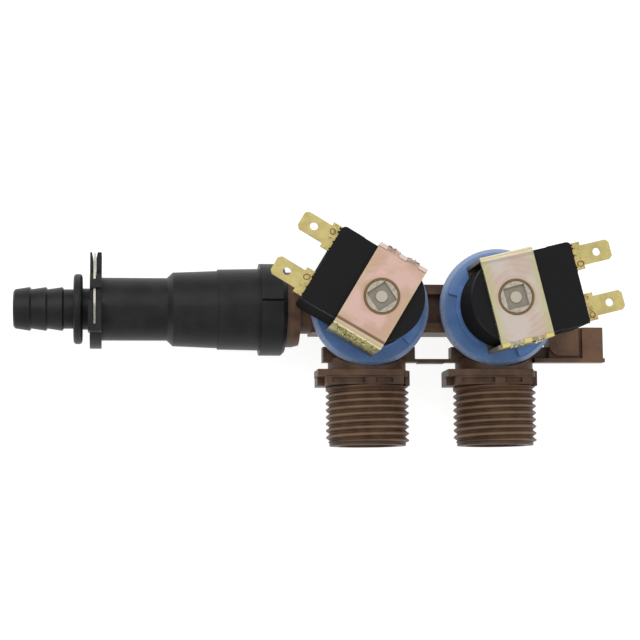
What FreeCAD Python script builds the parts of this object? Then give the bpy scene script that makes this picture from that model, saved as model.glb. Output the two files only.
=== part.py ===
import FreeCAD, Part
import math
import os
import Sketcher

# Double inlet valve of a washing machine: a moulded manifold with two threaded inlets, two solenoid
# coils on guide tubes, and a long outlet tube that ends in a barbed hose nozzle.
# Frame, in millimetres: the origin is on the outer face of the plate's middle boss, midway between
# the inlet axes. +Z runs along the coil axes towards their tops, -Y out of the inlets, and -X out of
# the outlet. Each coil's own frame has +X towards its terminals.

# name, size in millimetres or degrees, what it is
SIZES = [
    ("inlet_spacing", 42.1, "between the two inlet axes"),
    ("seat_y", 17.5, "middle boss to the coil axes and the outlet axis"),
    ("run_gap", 0.15, "free space round a piece that moves"),
    # inlets
    ("thread_d", 27.0, "hose thread, over the crests"),
    ("thread_pitch", 2.209, "hose thread, 11.5 per inch"),
    ("thread_depth", 1.05, "crest to root"),
    ("thread_crest", 0.4, "flat on a crest"),
    ("thread_root", 0.3, "flat in a root"),
    ("thread_lead", 1.2, "plain end in front of the thread"),
    ("thread_stop", 7.9, "middle boss to the end of the thread"),
    ("inlet_length", 26.9, "middle boss to the mouth"),
    ("inlet_bore", 19.6, "bore at the mouth"),
    ("screen_depth", 14.0, "mouth to the screen's seat"),
    ("washer_bore", 15.2, "bore that holds the flow washer"),
    ("washer_depth", 5.0, "depth of that bore"),
    ("channel_bore", 9.0, "inlet channel to the valve chamber"),
    ("channel_drop", 2.6, "inlet axis down to the channel's axis"),
    ("channel_wall", 2.6, "wall of the channel under the chamber"),
    ("port_bore", 5.2, "port from the channel up into the chamber"),
    ("port_reach", 9.6, "seat axis to the port's axis"),
    ("neck_d", 25.4, "neck between plate and ring"),
    ("ring_d", 27.4, "ring outside the panel"),
    ("ring_gap", 2.8, "space for the panel, plate to ring"),
    ("ring_width", 2.1, "thickness of the ring"),
    ("band_d", 24.2, "low band outside the ring"),
    ("band_width", 2.7, "thickness of the band"),
    ("lug_reach", 16.7, "inlet axis to the end of a lug"),
    ("lug_half", 4.5, "half the width of a lug"),
    ("hook_reach", 13.4, "inlet axis to the outside of the hook"),
    ("hook_wall", 1.5, "thickness of the hook"),
    ("band_slot", 1.5, "height of the slots in the band's top"),
    ("front_reach", 12.5, "inlet axis up to the ring's flat top"),
    ("front_left", 17.3, "inlet axis to the flat top's left end"),
    ("front_right", 10.4, "inlet axis to the flat top's right end"),
    ("band_left", 14.6, "inlet axis to the left end of the band's flat top"),
    ("band_step", 0.5, "ring's flat top above the band's"),
    ("slot_depth", 1.1, "depth of the slots in the band's top"),
    ("slot_one_left", 12.9, "inlet axis to the left slot's left end"),
    ("slot_one_right", 2.1, "inlet axis to the left slot's right end"),
    ("slot_two_left", 0.5, "inlet axis to the right slot's left end"),
    ("slot_two_right", 6.9, "inlet axis to the right slot's right end"),
    # mounting plate and its blocks
    ("plate_width", 1.0, "thickness of the mounting plate"),
    ("plate_left", 34.2, "origin to the plate's left end"),
    ("plate_right", 56.9, "origin to the plate's right end"),
    ("plate_top", 2.5, "inlet axis up to the plate's top edge"),
    ("plate_drop", 2.5, "inlet axis down to the plate's lower edge"),
    ("boss_proud", 0.3, "middle boss in front of the plate"),
    ("boss_half", 4.3, "half the width of the middle boss"),
    ("boss_rise", 2.5, "half the height of the middle boss"),
    ("block_left", 14.6, "block behind an inlet, from the inlet's axis to its left end"),
    ("block_right", 15.5, "block behind the left inlet, from the axis to its right end"),
    ("block_depth", 5.2, "depth of the block"),
    ("block_top", 3.0, "inlet axis up to the block's top"),
    # ear at the right end
    ("ear_left", 38.5, "origin to the ear's inner end"),
    ("ear_right", 56.3, "origin to the ear's outer end"),
    ("ear_depth", 11.4, "middle boss to the ear's back"),
    ("ear_top", 6.0, "inlet axis up to the ear's top"),
    ("lip_left", 33.5, "origin to the left end of the ear's front lip"),
    ("lip_foot", 1.0, "inlet axis up to the lip's lower edge"),
    ("ear_slot", 1.2, "width of the slot across the ear"),
    ("ear_slot_depth", 1.4, "depth of that slot"),
    ("ear_end", 6.9, "width of the ear's end part"),
    ("ear_corner", 3.5, "rounded inner corner of the ear"),
    ("ear_relief", 0.8, "space between the ear's pad and the plate"),
    # manifold and valve chambers
    ("bar_width", 15.7, "width of the manifold bar"),
    ("bar_top", 5.6, "inlet axis up to the bar's ledges"),
    ("bar_drop", 9.2, "inlet axis down to the bar's underside"),
    ("bar_left", 39.5, "origin to the bar's left end"),
    ("bar_groove", 9.3, "width of the groove along the bar"),
    ("bar_groove_depth", 3.2, "depth of that groove"),
    ("duct_bore", 8.8, "mixing duct inside the bar"),
    ("duct_drop", 3.6, "inlet axis down to the duct's axis"),
    ("cup_d", 34.6, "valve chamber, outside"),
    ("cup_top", 8.2, "inlet axis up to the chamber's rim"),
    ("cup_drop", 2.5, "inlet axis down to the chamber's underside"),
    ("well_d", 25.2, "boss under the chamber"),
    ("bead_d", 29.2, "groove for the diaphragm's bead, outside"),
    ("bead_width", 1.8, "width of the bead"),
    ("bead_height", 2.2, "height of the bead"),
    ("moat_floor", 2.2, "inlet axis up to the chamber's floor"),
    ("seat_top", 6.3, "inlet axis up to the valve seat"),
    ("seat_d", 12.4, "valve seat, outside"),
    ("seat_bore", 9.2, "valve seat, inside"),
    ("seat_pass", 1.1, "duct's axis down to the floor of the seat's bore"),
    ("foot_width", 2.2, "rib under each chamber"),
    ("foot_length", 22.0, "length of that rib"),
    # outlet of the manifold
    ("outlet_neck_d", 15.6, "outlet neck"),
    ("outlet_bore", 10.4, "outlet bore"),
    ("flange_d", 24.4, "outlet flange"),
    ("flange_taper", 0.5, "flange radius lost towards the manifold"),
    ("flange_right", 43.6, "origin to the flange's inner face"),
    ("flange_width", 4.3, "thickness of the flange"),
    ("spigot_d", 17.6, "spigot inside the tube"),
    ("spigot_length", 14.0, "length of the spigot"),
    ("ring_wire", 1.8, "wire of the seal rings"),
    # outlet tube
    ("tube_seat", 0.3, "tube end to the outlet flange"),
    ("collar_d", 29.9, "collar at the valve end"),
    ("collar_length", 8.1, "length of the collar"),
    ("collar_chamfer", 1.1, "chamfer on the collar's end"),
    ("collar_split", 0.7, "groove across the collar"),
    ("collar_split_y", 1.1, "tube axis to that groove"),
    ("step_two_d", 26.6, "second step, at the collar"),
    ("step_two_end_d", 26.0, "second step, far end"),
    ("step_two_length", 13.5, "length of the second step"),
    ("step_one_d", 25.1, "first step, near end"),
    ("step_one_end_d", 23.9, "first step, far end"),
    ("step_one_length", 14.4, "length of the first step"),
    ("shoulder_length", 1.9, "cone between tube and first step"),
    ("tube_d", 20.3, "plain part of the tube"),
    ("tube_length", 20.9, "length of the plain part"),
    ("tube_bore", 16.2, "bore of the plain part"),
    ("tube_slack", 0.1, "radial space between spigot or nozzle and bore"),
    # clip housing and clip
    ("housing_d", 25.6, "round housing at the tube's far end"),
    ("housing_width", 3.7, "thickness of the housing"),
    ("slit_width", 1.0, "slit that holds the clip"),
    ("ear_y", 17.8, "tube axis to the end of the housing's ear"),
    ("ear_half", 5.0, "half the width of the ear"),
    ("ear_mouth", 1.9, "width of the slit's mouth in the ear's end"),
    ("ear_mouth_depth", 4.4, "depth of that mouth"),
    ("pad_rise", 14.2, "tube axis to the top of the housing's pad"),
    ("pad_near", 1.2, "tube axis to the pad's edge towards the ear"),
    ("pad_far", 8.5, "tube axis to the pad's other edge"),
    ("pad_width", 4.2, "thickness of the pad"),
    ("notch_end", 5.6, "tube axis to the end of the notch beside the pad"),
    ("notch_rise", 9.4, "tube axis to the floor of that notch"),
    ("window_near", 2.4, "tube axis to the clip window's end towards the ear"),
    ("window_far", 6.2, "tube axis to the window's other end"),
    ("slit_offset", 1.0, "housing's near face to the slit"),
    ("clip_width", 0.7, "clip, sheet thickness"),
    ("clip_inner", 6.85, "tube axis to the inside of a clip leg"),
    ("clip_outer", 9.3, "tube axis to the outside of a clip leg"),
    ("clip_tip", 6.4, "tube axis to the ends of the legs"),
    ("clip_arch", 8.6, "tube axis to the inside of the bridge"),
    ("clip_back", 11.6, "tube axis to the outside of the bridge"),
    ("clip_end", 18.0, "tube axis to the end of the tongue"),
    ("tongue_half", 2.6, "half the width of the tongue"),
    # hose nozzle
    ("nozzle_bore", 9.2, "bore of the nozzle"),
    ("nozzle_length", 24.3, "housing to the tip"),
    ("barb_d", 14.1, "over the barbs"),
    ("barb_root_d", 12.7, "between the barbs"),
    ("barb_pitch", 5.17, "from one barb to the next"),
    ("barb_count", 3, "number of barbs"),
    ("barb_first", 5.15, "tip to the first barb"),
    ("barb_back", 0.5, "length of a barb's back"),
    ("tip_chamfer", 0.6, "chamfer on the tip"),
    ("bead_ring_d", 22.6, "hose stop ring"),
    ("bead_ring_width", 2.8, "thickness of the ring"),
    ("bead_ring_gap", 2.4, "ring to the housing"),
    ("stem_d", 13.3, "stem through the clip"),
    ("shank_length", 11.0, "shank inside the tube"),
    # bonnet, guide tube and diaphragm
    ("bonnet_d", 38.3, "blue bonnet, outside"),
    ("bonnet_top", 11.6, "inlet axis up to the top of the bonnet's disc"),
    ("bonnet_chamfer", 1.3, "edge of the bonnet"),
    ("bonnet_wall", 1.3, "skirt round the chamber"),
    ("bonnet_skirt", 0.6, "depth of the skirt below the chamber's rim"),
    ("ramp_outer_d", 34.6, "driving slot in the bonnet, outside"),
    ("ramp_inner_d", 28.6, "driving slot in the bonnet, inside"),
    ("ramp_step", 0.9, "depth of the driving slot and of the rim beside it"),
    ("ramp_sector", 125.0, "angle of the driving slot"),
    ("boss_d", 23.6, "boss under the coil"),
    ("boss_top", 13.9, "inlet axis up to the boss"),
    ("tube_flange_height", 1.6, "guide tube's flange"),
    ("dome_d", 18.8, "guide tube's dome"),
    ("dome_top", 12.2, "inlet axis up to the dome"),
    ("dome_bore", 16.0, "inside of the dome"),
    ("dome_ceiling", 10.6, "inlet axis up to the dome's ceiling"),
    ("guide_d", 9.9, "guide tube, outside"),
    ("guide_bore", 8.4, "guide tube, inside"),
    ("guide_end", 2.4, "thickness of the tube's closed end"),
    ("guide_square", 6.8, "square recess in the end"),
    ("guide_square_depth", 0.8, "depth of the recess"),
    ("guide_pip_d", 3.6, "round pip in the recess"),
    ("guide_pip_height", 0.5, "height of the pip"),
    ("film", 0.8, "thickness of the diaphragm's film"),
    ("film_bore", 7.0, "hole in the middle of the diaphragm"),
    ("insert_flange_d", 13.4, "diaphragm insert, flange"),
    ("insert_flange_height", 1.0, "height of that flange"),
    ("insert_stem_drop", 2.4, "stem of the insert below the film"),
    ("nipple_d", 3.0, "pilot nipple on the insert"),
    ("nipple_height", 0.8, "height of the nipple"),
    ("pilot_bore", 1.0, "pilot hole"),
    # plunger and spring
    ("plunger_d", 8.0, "plunger"),
    ("plunger_length", 20.4, "length of the plunger"),
    ("plunger_well_d", 5.6, "spring well in the plunger"),
    ("plunger_well_depth", 8.0, "depth of that well"),
    ("plunger_slot", 1.0, "water slots down the plunger's side"),
    ("seal_d", 4.6, "rubber face of the plunger"),
    ("seal_height", 2.2, "height of the rubber"),
    ("seal_proud", 0.4, "rubber in front of the steel"),
    ("spring_d", 4.6, "plunger spring, outside"),
    ("spring_wire", 0.45, "wire of the spring"),
    ("spring_turns", 7, "turns of the spring"),
    # coil
    ("coil_seat", 0.2, "coil above the bonnet's boss"),
    ("coil_height", 22.8, "over the two yoke plates"),
    ("coil_angle_left", 148.9, "left coil's terminals, from +X"),
    ("coil_angle_right", 13.4, "right coil's terminals, from +X"),
    ("bonnet_angle_left", 190.0, "where the left bonnet's slot starts, from +X"),
    ("bonnet_angle_right", 166.0, "where the right bonnet's slot starts, from +X"),
    ("square_angle_left", 33.0, "turn of the left guide tube's recess"),
    ("square_angle_right", 15.0, "turn of the right guide tube's recess"),
    ("yoke_sheet", 1.3, "sheet of the yoke"),
    ("yoke_width", 16.9, "width of the yoke"),
    ("yoke_length", 29.0, "length over the two arms"),
    ("yoke_offset", 0.35, "yoke's middle beside the coil axis, towards the terminals"),
    ("yoke_bend", 1.6, "outer radius of the fold"),
    ("yoke_tooth", 4.2, "width of a tooth of the plate"),
    ("yoke_proud", 0.3, "fingers stand proud of the plate"),
    ("yoke_slack", 0.05, "space beside a finger"),
    ("sleeve_wall", 0.5, "flux sleeve in the coil"),
    ("sleeve_slack", 0.1, "space between flux sleeve and yoke"),
    ("moulding_r", 13.7, "round end of the coil moulding"),
    ("moulding_flat", 13.1, "axis to the flats inside the arms"),
    ("moulding_reach", 21.3, "axis to the terminal face"),
    ("moulding_half", 13.25, "half the width of the terminal block"),
    ("moulding_corner", 1.5, "corners of the terminal block"),
    ("moulding_cover", 1.3, "cover over the bobbin's ends"),
    ("bobbin_d", 23.0, "bobbin flanges"),
    ("bobbin_flange", 1.2, "thickness of a flange"),
    ("bobbin_wall", 0.9, "wall of the bobbin's barrel"),
    ("winding_d", 22.2, "copper winding, outside"),
    ("terminal_width", 6.35, "push-on tab"),
    ("terminal_sheet", 0.8, "thickness of the tab"),
    ("terminal_reach", 33.6, "coil axis to the tab's tip"),
    ("terminal_root", 4.0, "tab inside the moulding"),
    ("terminal_shoulder", 1.2, "shoulder each side of the tab"),
    ("terminal_shoulder_length", 3.0, "shoulder outside the moulding"),
    ("terminal_chamfer", 1.0, "corners of the tip"),
    ("terminal_hole", 2.5, "hole in the tab"),
    ("terminal_hole_inset", 4.6, "tip to the hole"),
    ("terminal_spacing", 16.4, "between the two tabs"),
    ("terminal_drop", 2.6, "yoke top down to the tab"),
    # screen and flow washer in an inlet
    ("screen_rim", 1.4, "rim of the screen"),
    ("screen_cup_d", 13.6, "cup of the screen"),
    ("screen_cup_depth", 8.0, "depth of the cup"),
    ("screen_wall", 0.9, "wall of the cup"),
    ("screen_slots", 12, "slots round the cup"),
    ("screen_slot_width", 1.4, "width of a slot"),
    ("screen_hole", 1.3, "square holes in the cup's end"),
    ("screen_hole_pitch", 2.3, "from one hole to the next"),
    ("washer_width", 3.6, "thickness of the flow washer"),
    ("washer_hole", 4.4, "hole in the flow washer"),
]

doc = FreeCAD.newDocument("inlet_valve")
sheet = doc.addObject("Spreadsheet::Sheet", "Sizes")


class Size:
    """A number together with the expression that gives it in the document."""

    def __init__(self, value, text):
        self.value = value
        self.text = text

    def __add__(self, other):
        other = size(other)
        return Size(self.value + other.value, f"({self.text} + {other.text})")

    def __sub__(self, other):
        other = size(other)
        return Size(self.value - other.value, f"({self.text} - {other.text})")

    def __mul__(self, other):
        other = size(other)
        return Size(self.value * other.value, f"({self.text} * {other.text})")

    def __truediv__(self, other):
        other = size(other)
        return Size(self.value / other.value, f"({self.text} / {other.text})")

    def __radd__(self, other):
        return size(other) + self

    def __rsub__(self, other):
        return size(other) - self

    def __rmul__(self, other):
        return size(other) * self

    def __neg__(self):
        return Size(-self.value, f"(-1 * {self.text})")


def size(number):
    """A plain number as a Size; a Size as it is."""
    return number if isinstance(number, Size) else Size(float(number), repr(float(number)))


class Table:
    """The spreadsheet's cells by name."""


S = Table()
for row, (alias, value, note) in enumerate(SIZES, start=1):
    sheet.set(f"A{row}", repr(value))
    sheet.setAlias(f"A{row}", alias)
    sheet.set(f"B{row}", note)
    setattr(S, alias, Size(value, f"Sizes.{alias}"))
doc.recompute()

# Levels and radii that several pieces share.
INLET_END = -S.inlet_length
RING_OUT = -(S.ring_gap + S.ring_width)
SCREEN_SEAT = S.screen_depth - S.inlet_length
WASHER_SEAT = SCREEN_SEAT + S.washer_depth
REST = -S.collar_d / 2
PLATE_BACK = S.boss_proud + S.plate_width
FLANGE_LEFT = -(S.flange_right + S.flange_width)
TUBE_END = FLANGE_LEFT - S.tube_seat
COLLAR_LEFT = TUBE_END - S.collar_length
STEP_TWO_LEFT = COLLAR_LEFT - S.step_two_length
STEP_ONE_LEFT = STEP_TWO_LEFT - S.step_one_length
SHOULDER_LEFT = STEP_ONE_LEFT - S.shoulder_length
HOUSING_RIGHT = SHOULDER_LEFT - S.tube_length
HOUSING_LEFT = HOUSING_RIGHT - S.housing_width
SLIT_LEFT = HOUSING_LEFT + S.slit_offset
CLIP_LEFT = SLIT_LEFT + (S.slit_width - S.clip_width) / 2
SPIGOT_LEFT = FLANGE_LEFT - S.spigot_length
SPIGOT_BORE = S.spigot_d + 2 * S.tube_slack
SHANK_D = S.tube_bore - 2 * S.tube_slack
NOZZLE_TIP = HOUSING_LEFT - S.nozzle_length
BEAD_FLOOR = S.cup_top - S.bead_height
FILM_UNDER = S.seat_top
FILM_TOP = FILM_UNDER + S.film
FLANGE_TOP = S.cup_top + S.tube_flange_height
INSERT_TOP = FILM_TOP + S.insert_flange_height
NIPPLE_TOP = INSERT_TOP + S.nipple_height
PLUNGER_FOOT = NIPPLE_TOP + S.seal_proud
PLUNGER_TOP = PLUNGER_FOOT + S.plunger_length
WELL_FLOOR = PLUNGER_TOP - S.plunger_well_depth
COIL_FOOT = S.boss_top + S.coil_seat
COIL_TOP = COIL_FOOT + S.coil_height
GUIDE_CEILING = COIL_TOP - S.guide_end
MOULD_FOOT = COIL_FOOT + S.yoke_sheet
MOULD_TOP = COIL_TOP - S.yoke_sheet
BOBBIN_FOOT = MOULD_FOOT + S.moulding_cover
BOBBIN_TOP = MOULD_TOP - S.moulding_cover
SLEEVE_BORE = S.guide_d + 2 * S.run_gap
SLEEVE_D = SLEEVE_BORE + 2 * S.sleeve_wall
YOKE_HOLE = SLEEVE_D + 2 * S.sleeve_slack
TERMINAL_Z = COIL_TOP - S.terminal_drop
SKIRT_FOOT = S.cup_top - S.bonnet_skirt
DUCT_MOUTH = -S.bar_left + S.duct_bore / 2
RING_CENTRE_SPIGOT = SPIGOT_BORE / 2 - S.ring_wire / 2
RING_CENTRE_SHANK = S.tube_bore / 2 - S.ring_wire / 2

SIDES = {"left": -1, "right": 1}


def body(name):
    """A new PartDesign body, whose label names the sub-part's file."""
    made = doc.addObject("PartDesign::Body", name)
    made.Label = name
    return made


def bind(thing, path, value):
    """Ties a property to the sheet."""
    thing.setExpression(path, size(value).text)


def place(made, x=0, y=0, z=0, turn=0):
    """Places a sub-part in the frame, turned about its own Z axis."""
    x, y, z, turn = size(x), size(y), size(z), size(turn)
    made.Placement = FreeCAD.Placement(
        FreeCAD.Vector(x.value, y.value, z.value),
        FreeCAD.Rotation(FreeCAD.Vector(0, 0, 1), turn.value if turn.value else 1.0),
    )
    bind(made, "Placement.Base.x", x)
    bind(made, "Placement.Base.y", y)
    bind(made, "Placement.Base.z", z)
    bind(made, "Placement.Rotation.Angle", turn)


def sketch(owner, name, role, x=0, y=0, z=0):
    """A sketch on one of the body's own planes; x, y and z are offsets in the sketch's own axes."""
    made = owner.newObject("Sketcher::SketchObject", f"{owner.Name}_{name}")
    support = [f for f in owner.Origin.OriginFeatures if f.Role == role][0]
    made.AttachmentSupport = [(support, "")]
    made.MapMode = "FlatFace"
    for axis, offset in (("x", x), ("y", y), ("z", z)):
        bind(made, f"AttachmentOffset.Base.{axis}", offset)
    return made


def hold(made, kind, geometry, point, value):
    """Fixes one coordinate of a sketch point by a distance from the sketch's origin."""
    value = size(value)
    axis = -2 if kind == "DistanceX" else -1
    if value.text == "0.0":
        made.addConstraint(Sketcher.Constraint("PointOnObject", geometry, point, axis))
        return
    index = made.addConstraint(Sketcher.Constraint(kind, -1, 1, geometry, point, value.value))
    made.setExpression(f"Constraints[{index}]", value.text)


def outline(made, points):
    """A closed outline of straight lines through the points."""
    first = made.GeometryCount
    corners = [FreeCAD.Vector(size(x).value, size(y).value, 0) for x, y in points]
    count = len(corners)
    for i, corner in enumerate(corners):
        made.addGeometry(Part.LineSegment(corner, corners[(i + 1) % count]), False)
    for i in range(count):
        made.addConstraint(Sketcher.Constraint("Coincident", first + i, 2, first + (i + 1) % count, 1))
    for i, (x, y) in enumerate(points):
        hold(made, "DistanceX", first + i, 1, x)
        hold(made, "DistanceY", first + i, 1, y)
    return made


def box_outline(made, left, low, right, high):
    """A rectangle from its two corners."""
    return outline(made, [(left, low), (right, low), (right, high), (left, high)])


def ring_outline(made, diameter, x=0, y=0):
    """A circle."""
    index = made.GeometryCount
    centre = FreeCAD.Vector(size(x).value, size(y).value, 0)
    radius = size(diameter) / 2
    made.addGeometry(Part.Circle(centre, FreeCAD.Vector(0, 0, 1), radius.value), False)
    hold(made, "DistanceX", index, 3, x)
    hold(made, "DistanceY", index, 3, y)
    held = made.addConstraint(Sketcher.Constraint("Radius", index, radius.value))
    made.setExpression(f"Constraints[{held}]", radius.text)
    return made


def feature(owner, kind, profile, **bound):
    """A PartDesign feature made from a profile, with its sizes tied to the sheet."""
    made = owner.newObject(f"PartDesign::{kind}", f"{profile.Name}_{kind.lower()}")
    made.Profile = profile
    for path, value in bound.items():
        bind(made, path, value)
    owner.Tip = made
    return made


def pad(owner, profile, length, back=False):
    """Raises a profile along its sketch's normal, or against it."""
    made = feature(owner, "Pad", profile, Length=length)
    made.Reversed = back
    return made


def pocket(owner, profile, length, back=False):
    """Cuts a profile against its sketch's normal, or along it."""
    made = feature(owner, "Pocket", profile, Length=length)
    made.Reversed = back
    return made


def turned(owner, profile, axis="V_Axis", cut=False, angle=360):
    """Turns a profile about one of its sketch's axes, as metal or as a cut."""
    made = feature(owner, "Groove" if cut else "Revolution", profile, Angle=angle)
    made.ReferenceAxis = (profile, [axis])
    return made


def round_edges(owner, radius, chosen, kind="Fillet"):
    """Rounds or chamfers the edges of the tip that the test picks."""
    doc.recompute()
    tip = owner.Tip
    names = [f"Edge{i}" for i, edge in enumerate(tip.Shape.Edges, start=1) if chosen(edge)]
    if not names:
        raise RuntimeError(f"{owner.Name}: no edge to round")
    made = owner.newObject(f"PartDesign::{kind}", f"{tip.Name}_{kind.lower()}")
    made.Base = (tip, names)
    bind(made, "Radius" if kind == "Fillet" else "Size", radius)
    owner.Tip = made
    return made


def ends(edge):
    """The points at an edge's two ends."""
    return [v.Point for v in edge.Vertexes]


def upright_at(x, y):
    """Picks the edges that run along Z through a point of the plan."""
    x, y = size(x).value, size(y).value

    def chosen(edge):
        return len(edge.Vertexes) == 2 and all(math.hypot(p.x - x, p.y - y) < 0.01 for p in ends(edge))

    return chosen


def pattern(owner, original, count, axis="Z_Axis"):
    """Repeats a feature round one of the body's axes."""
    made = owner.newObject("PartDesign::PolarPattern", f"{original.Name}_pattern")
    made.Originals = [original]
    support = [f for f in owner.Origin.OriginFeatures if f.Role == axis][0]
    made.Axis = (support, [""])
    made.Angle = 360
    bind(made, "Occurrences", count)
    owner.Tip = made
    return made


def seat_x(side):
    """X of an inlet and its valve seat."""
    return SIDES[side] * S.inlet_spacing / 2


def thread(owner, side, centre):
    """Cuts the hose thread's groove round an inlet."""
    first = INLET_END + S.thread_lead - S.thread_pitch / 2
    half = (S.thread_pitch - S.thread_crest) / 2
    root = S.thread_d / 2 - S.thread_depth
    over = S.thread_d / 2 + S.run_gap
    rise = (over - root) / S.thread_depth * (half - S.thread_root / 2) + S.thread_root / 2
    profile = outline(
        sketch(owner, f"thread_{side}", "YZ_Plane", z=centre),
        [
            (first - rise, over),
            (first - S.thread_root / 2, root),
            (first + S.thread_root / 2, root),
            (first + rise, over),
        ],
    )
    made = owner.newObject("PartDesign::SubtractiveHelix", f"{profile.Name}_helix")
    made.Profile = profile
    made.ReferenceAxis = (profile, ["H_Axis"])
    made.Mode = 0
    bind(made, "Pitch", S.thread_pitch)
    bind(made, "Height", S.inlet_length - S.thread_lead - S.thread_stop + S.thread_pitch / 2)
    owner.Tip = made


def lugs(owner, side, centre):
    """The lug, the hook and the flat slotted top of the ring that locks an inlet in the panel."""
    far = RING_OUT - S.band_width
    base = sketch(owner, f"lug_{side}", "XY_Plane", z=-S.lug_half)
    box_outline(base, centre - S.lug_reach, far, centre, -S.ring_gap)
    pad(owner, base, S.lug_half * 2)
    hook = sketch(owner, f"hook_{side}", "XY_Plane", z=-S.lug_half)
    box_outline(hook, centre + S.hook_reach - S.hook_wall, far, centre + S.hook_reach, -S.ring_gap)
    pad(owner, hook, S.lug_half * 2)
    ring = sketch(owner, f"ring_top_{side}", "XY_Plane")
    box_outline(ring, centre - S.front_left, RING_OUT, centre + S.front_right, -S.ring_gap)
    pad(owner, ring, S.front_reach)
    band = sketch(owner, f"band_top_{side}", "XY_Plane")
    box_outline(band, centre - S.band_left, far, centre + S.front_right, RING_OUT)
    pad(owner, band, S.front_reach - S.band_step)
    slot = sketch(owner, f"band_slot_{side}", "XY_Plane", z=S.front_reach - S.band_step)
    low, high = RING_OUT - (S.band_width + S.band_slot) / 2, RING_OUT - (S.band_width - S.band_slot) / 2
    box_outline(slot, centre - S.slot_one_left, low, centre - S.slot_one_right, high)
    box_outline(slot, centre + S.slot_two_left, low, centre + S.slot_two_right, high)
    pocket(owner, slot, S.slot_depth)


def inlet_root(owner, side, centre):
    """The block behind the plate, the valve chamber over it and the foot under it."""
    block = sketch(owner, f"block_{side}", "XZ_Plane", z=-S.block_depth)
    right = centre + S.block_right if side == "left" else S.ear_left
    box_outline(block, centre - S.block_left, -S.plate_drop, right, S.block_top)
    pad(owner, block, S.block_depth - S.boss_proud)
    cup = ring_outline(sketch(owner, f"cup_{side}", "XY_Plane", z=-S.cup_drop), S.cup_d, centre, S.seat_y)
    pad(owner, cup, S.cup_drop + S.cup_top)
    well = sketch(owner, f"well_{side}", "XY_Plane", z=-S.bar_drop)
    ring_outline(well, S.well_d, centre, S.seat_y)
    pad(owner, well, S.bar_drop)
    wall = S.channel_bore / 2 + S.channel_wall
    root = sketch(owner, f"root_{side}", "XY_Plane", z=-S.bar_drop)
    box_outline(root, centre - wall, S.boss_proud, centre + wall, S.seat_y)
    pad(owner, root, S.bar_drop)
    foot = sketch(owner, f"foot_{side}", "XY_Plane", z=REST)
    half = S.foot_width / 2
    box_outline(foot, centre - half, S.boss_proud, centre + half, S.boss_proud + S.foot_length)
    pad(owner, foot, -REST - S.cup_drop)


def ear(owner):
    """The block at the plate's right end, with its front lip and a shallow slot across it."""
    base = sketch(owner, "ear", "XY_Plane", z=-S.plate_drop)
    box_outline(base, S.ear_left, S.boss_proud, S.ear_right, S.ear_depth)
    pad(owner, base, S.plate_drop + S.ear_top)
    lip = sketch(owner, "ear_lip", "XY_Plane", z=S.lip_foot)
    box_outline(lip, S.lip_left, 0, S.plate_right, PLATE_BACK)
    pad(owner, lip, S.ear_top - S.lip_foot)
    slot = sketch(owner, "ear_slot", "XY_Plane", z=S.ear_top)
    left = S.ear_right - S.ear_end - S.ear_slot
    box_outline(slot, left, PLATE_BACK, left + S.ear_slot, S.ear_depth + S.run_gap)
    relief = box_outline(
        sketch(owner, "ear_relief", "XY_Plane", z=S.ear_top),
        S.ear_left - S.run_gap,
        PLATE_BACK,
        left + S.run_gap,
        PLATE_BACK + S.ear_relief,
    )
    pocket(owner, slot, S.ear_slot_depth)
    pocket(owner, relief, S.ear_slot_depth)
    corner = PLATE_BACK + S.ear_relief

    def chosen(edge):
        points = ends(edge)
        return len(points) == 2 and all(
            math.hypot(p.x - S.ear_left.value, p.y - corner.value) < 0.01 and p.z > 0 for p in points
        )

    round_edges(owner, S.ear_corner, chosen)


def outlet(owner):
    """The neck, flange and spigot that carry the outlet tube."""
    across = [
        (-S.bar_left, 0),
        (-S.bar_left, S.outlet_neck_d / 2),
        (-S.flange_right, S.outlet_neck_d / 2),
        (-S.flange_right, S.flange_d / 2 - S.flange_taper),
        (-S.flange_right - S.flange_width / 2, S.flange_d / 2),
        (FLANGE_LEFT, S.flange_d / 2),
        (FLANGE_LEFT, S.spigot_d / 2),
        (SPIGOT_LEFT, S.spigot_d / 2),
        (SPIGOT_LEFT, 0),
    ]
    neck = outline(sketch(owner, "outlet", "XZ_Plane", z=-S.seat_y), across)
    turned(owner, neck, "H_Axis")


def ring_groove(owner, name, role, x, z, diameter):
    """A round-bottomed groove for a seal ring on a spigot along X."""
    profile = ring_outline(sketch(owner, name, role, z=z), S.ring_wire, x, diameter)
    return turned(owner, profile, "H_Axis", cut=True)


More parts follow.
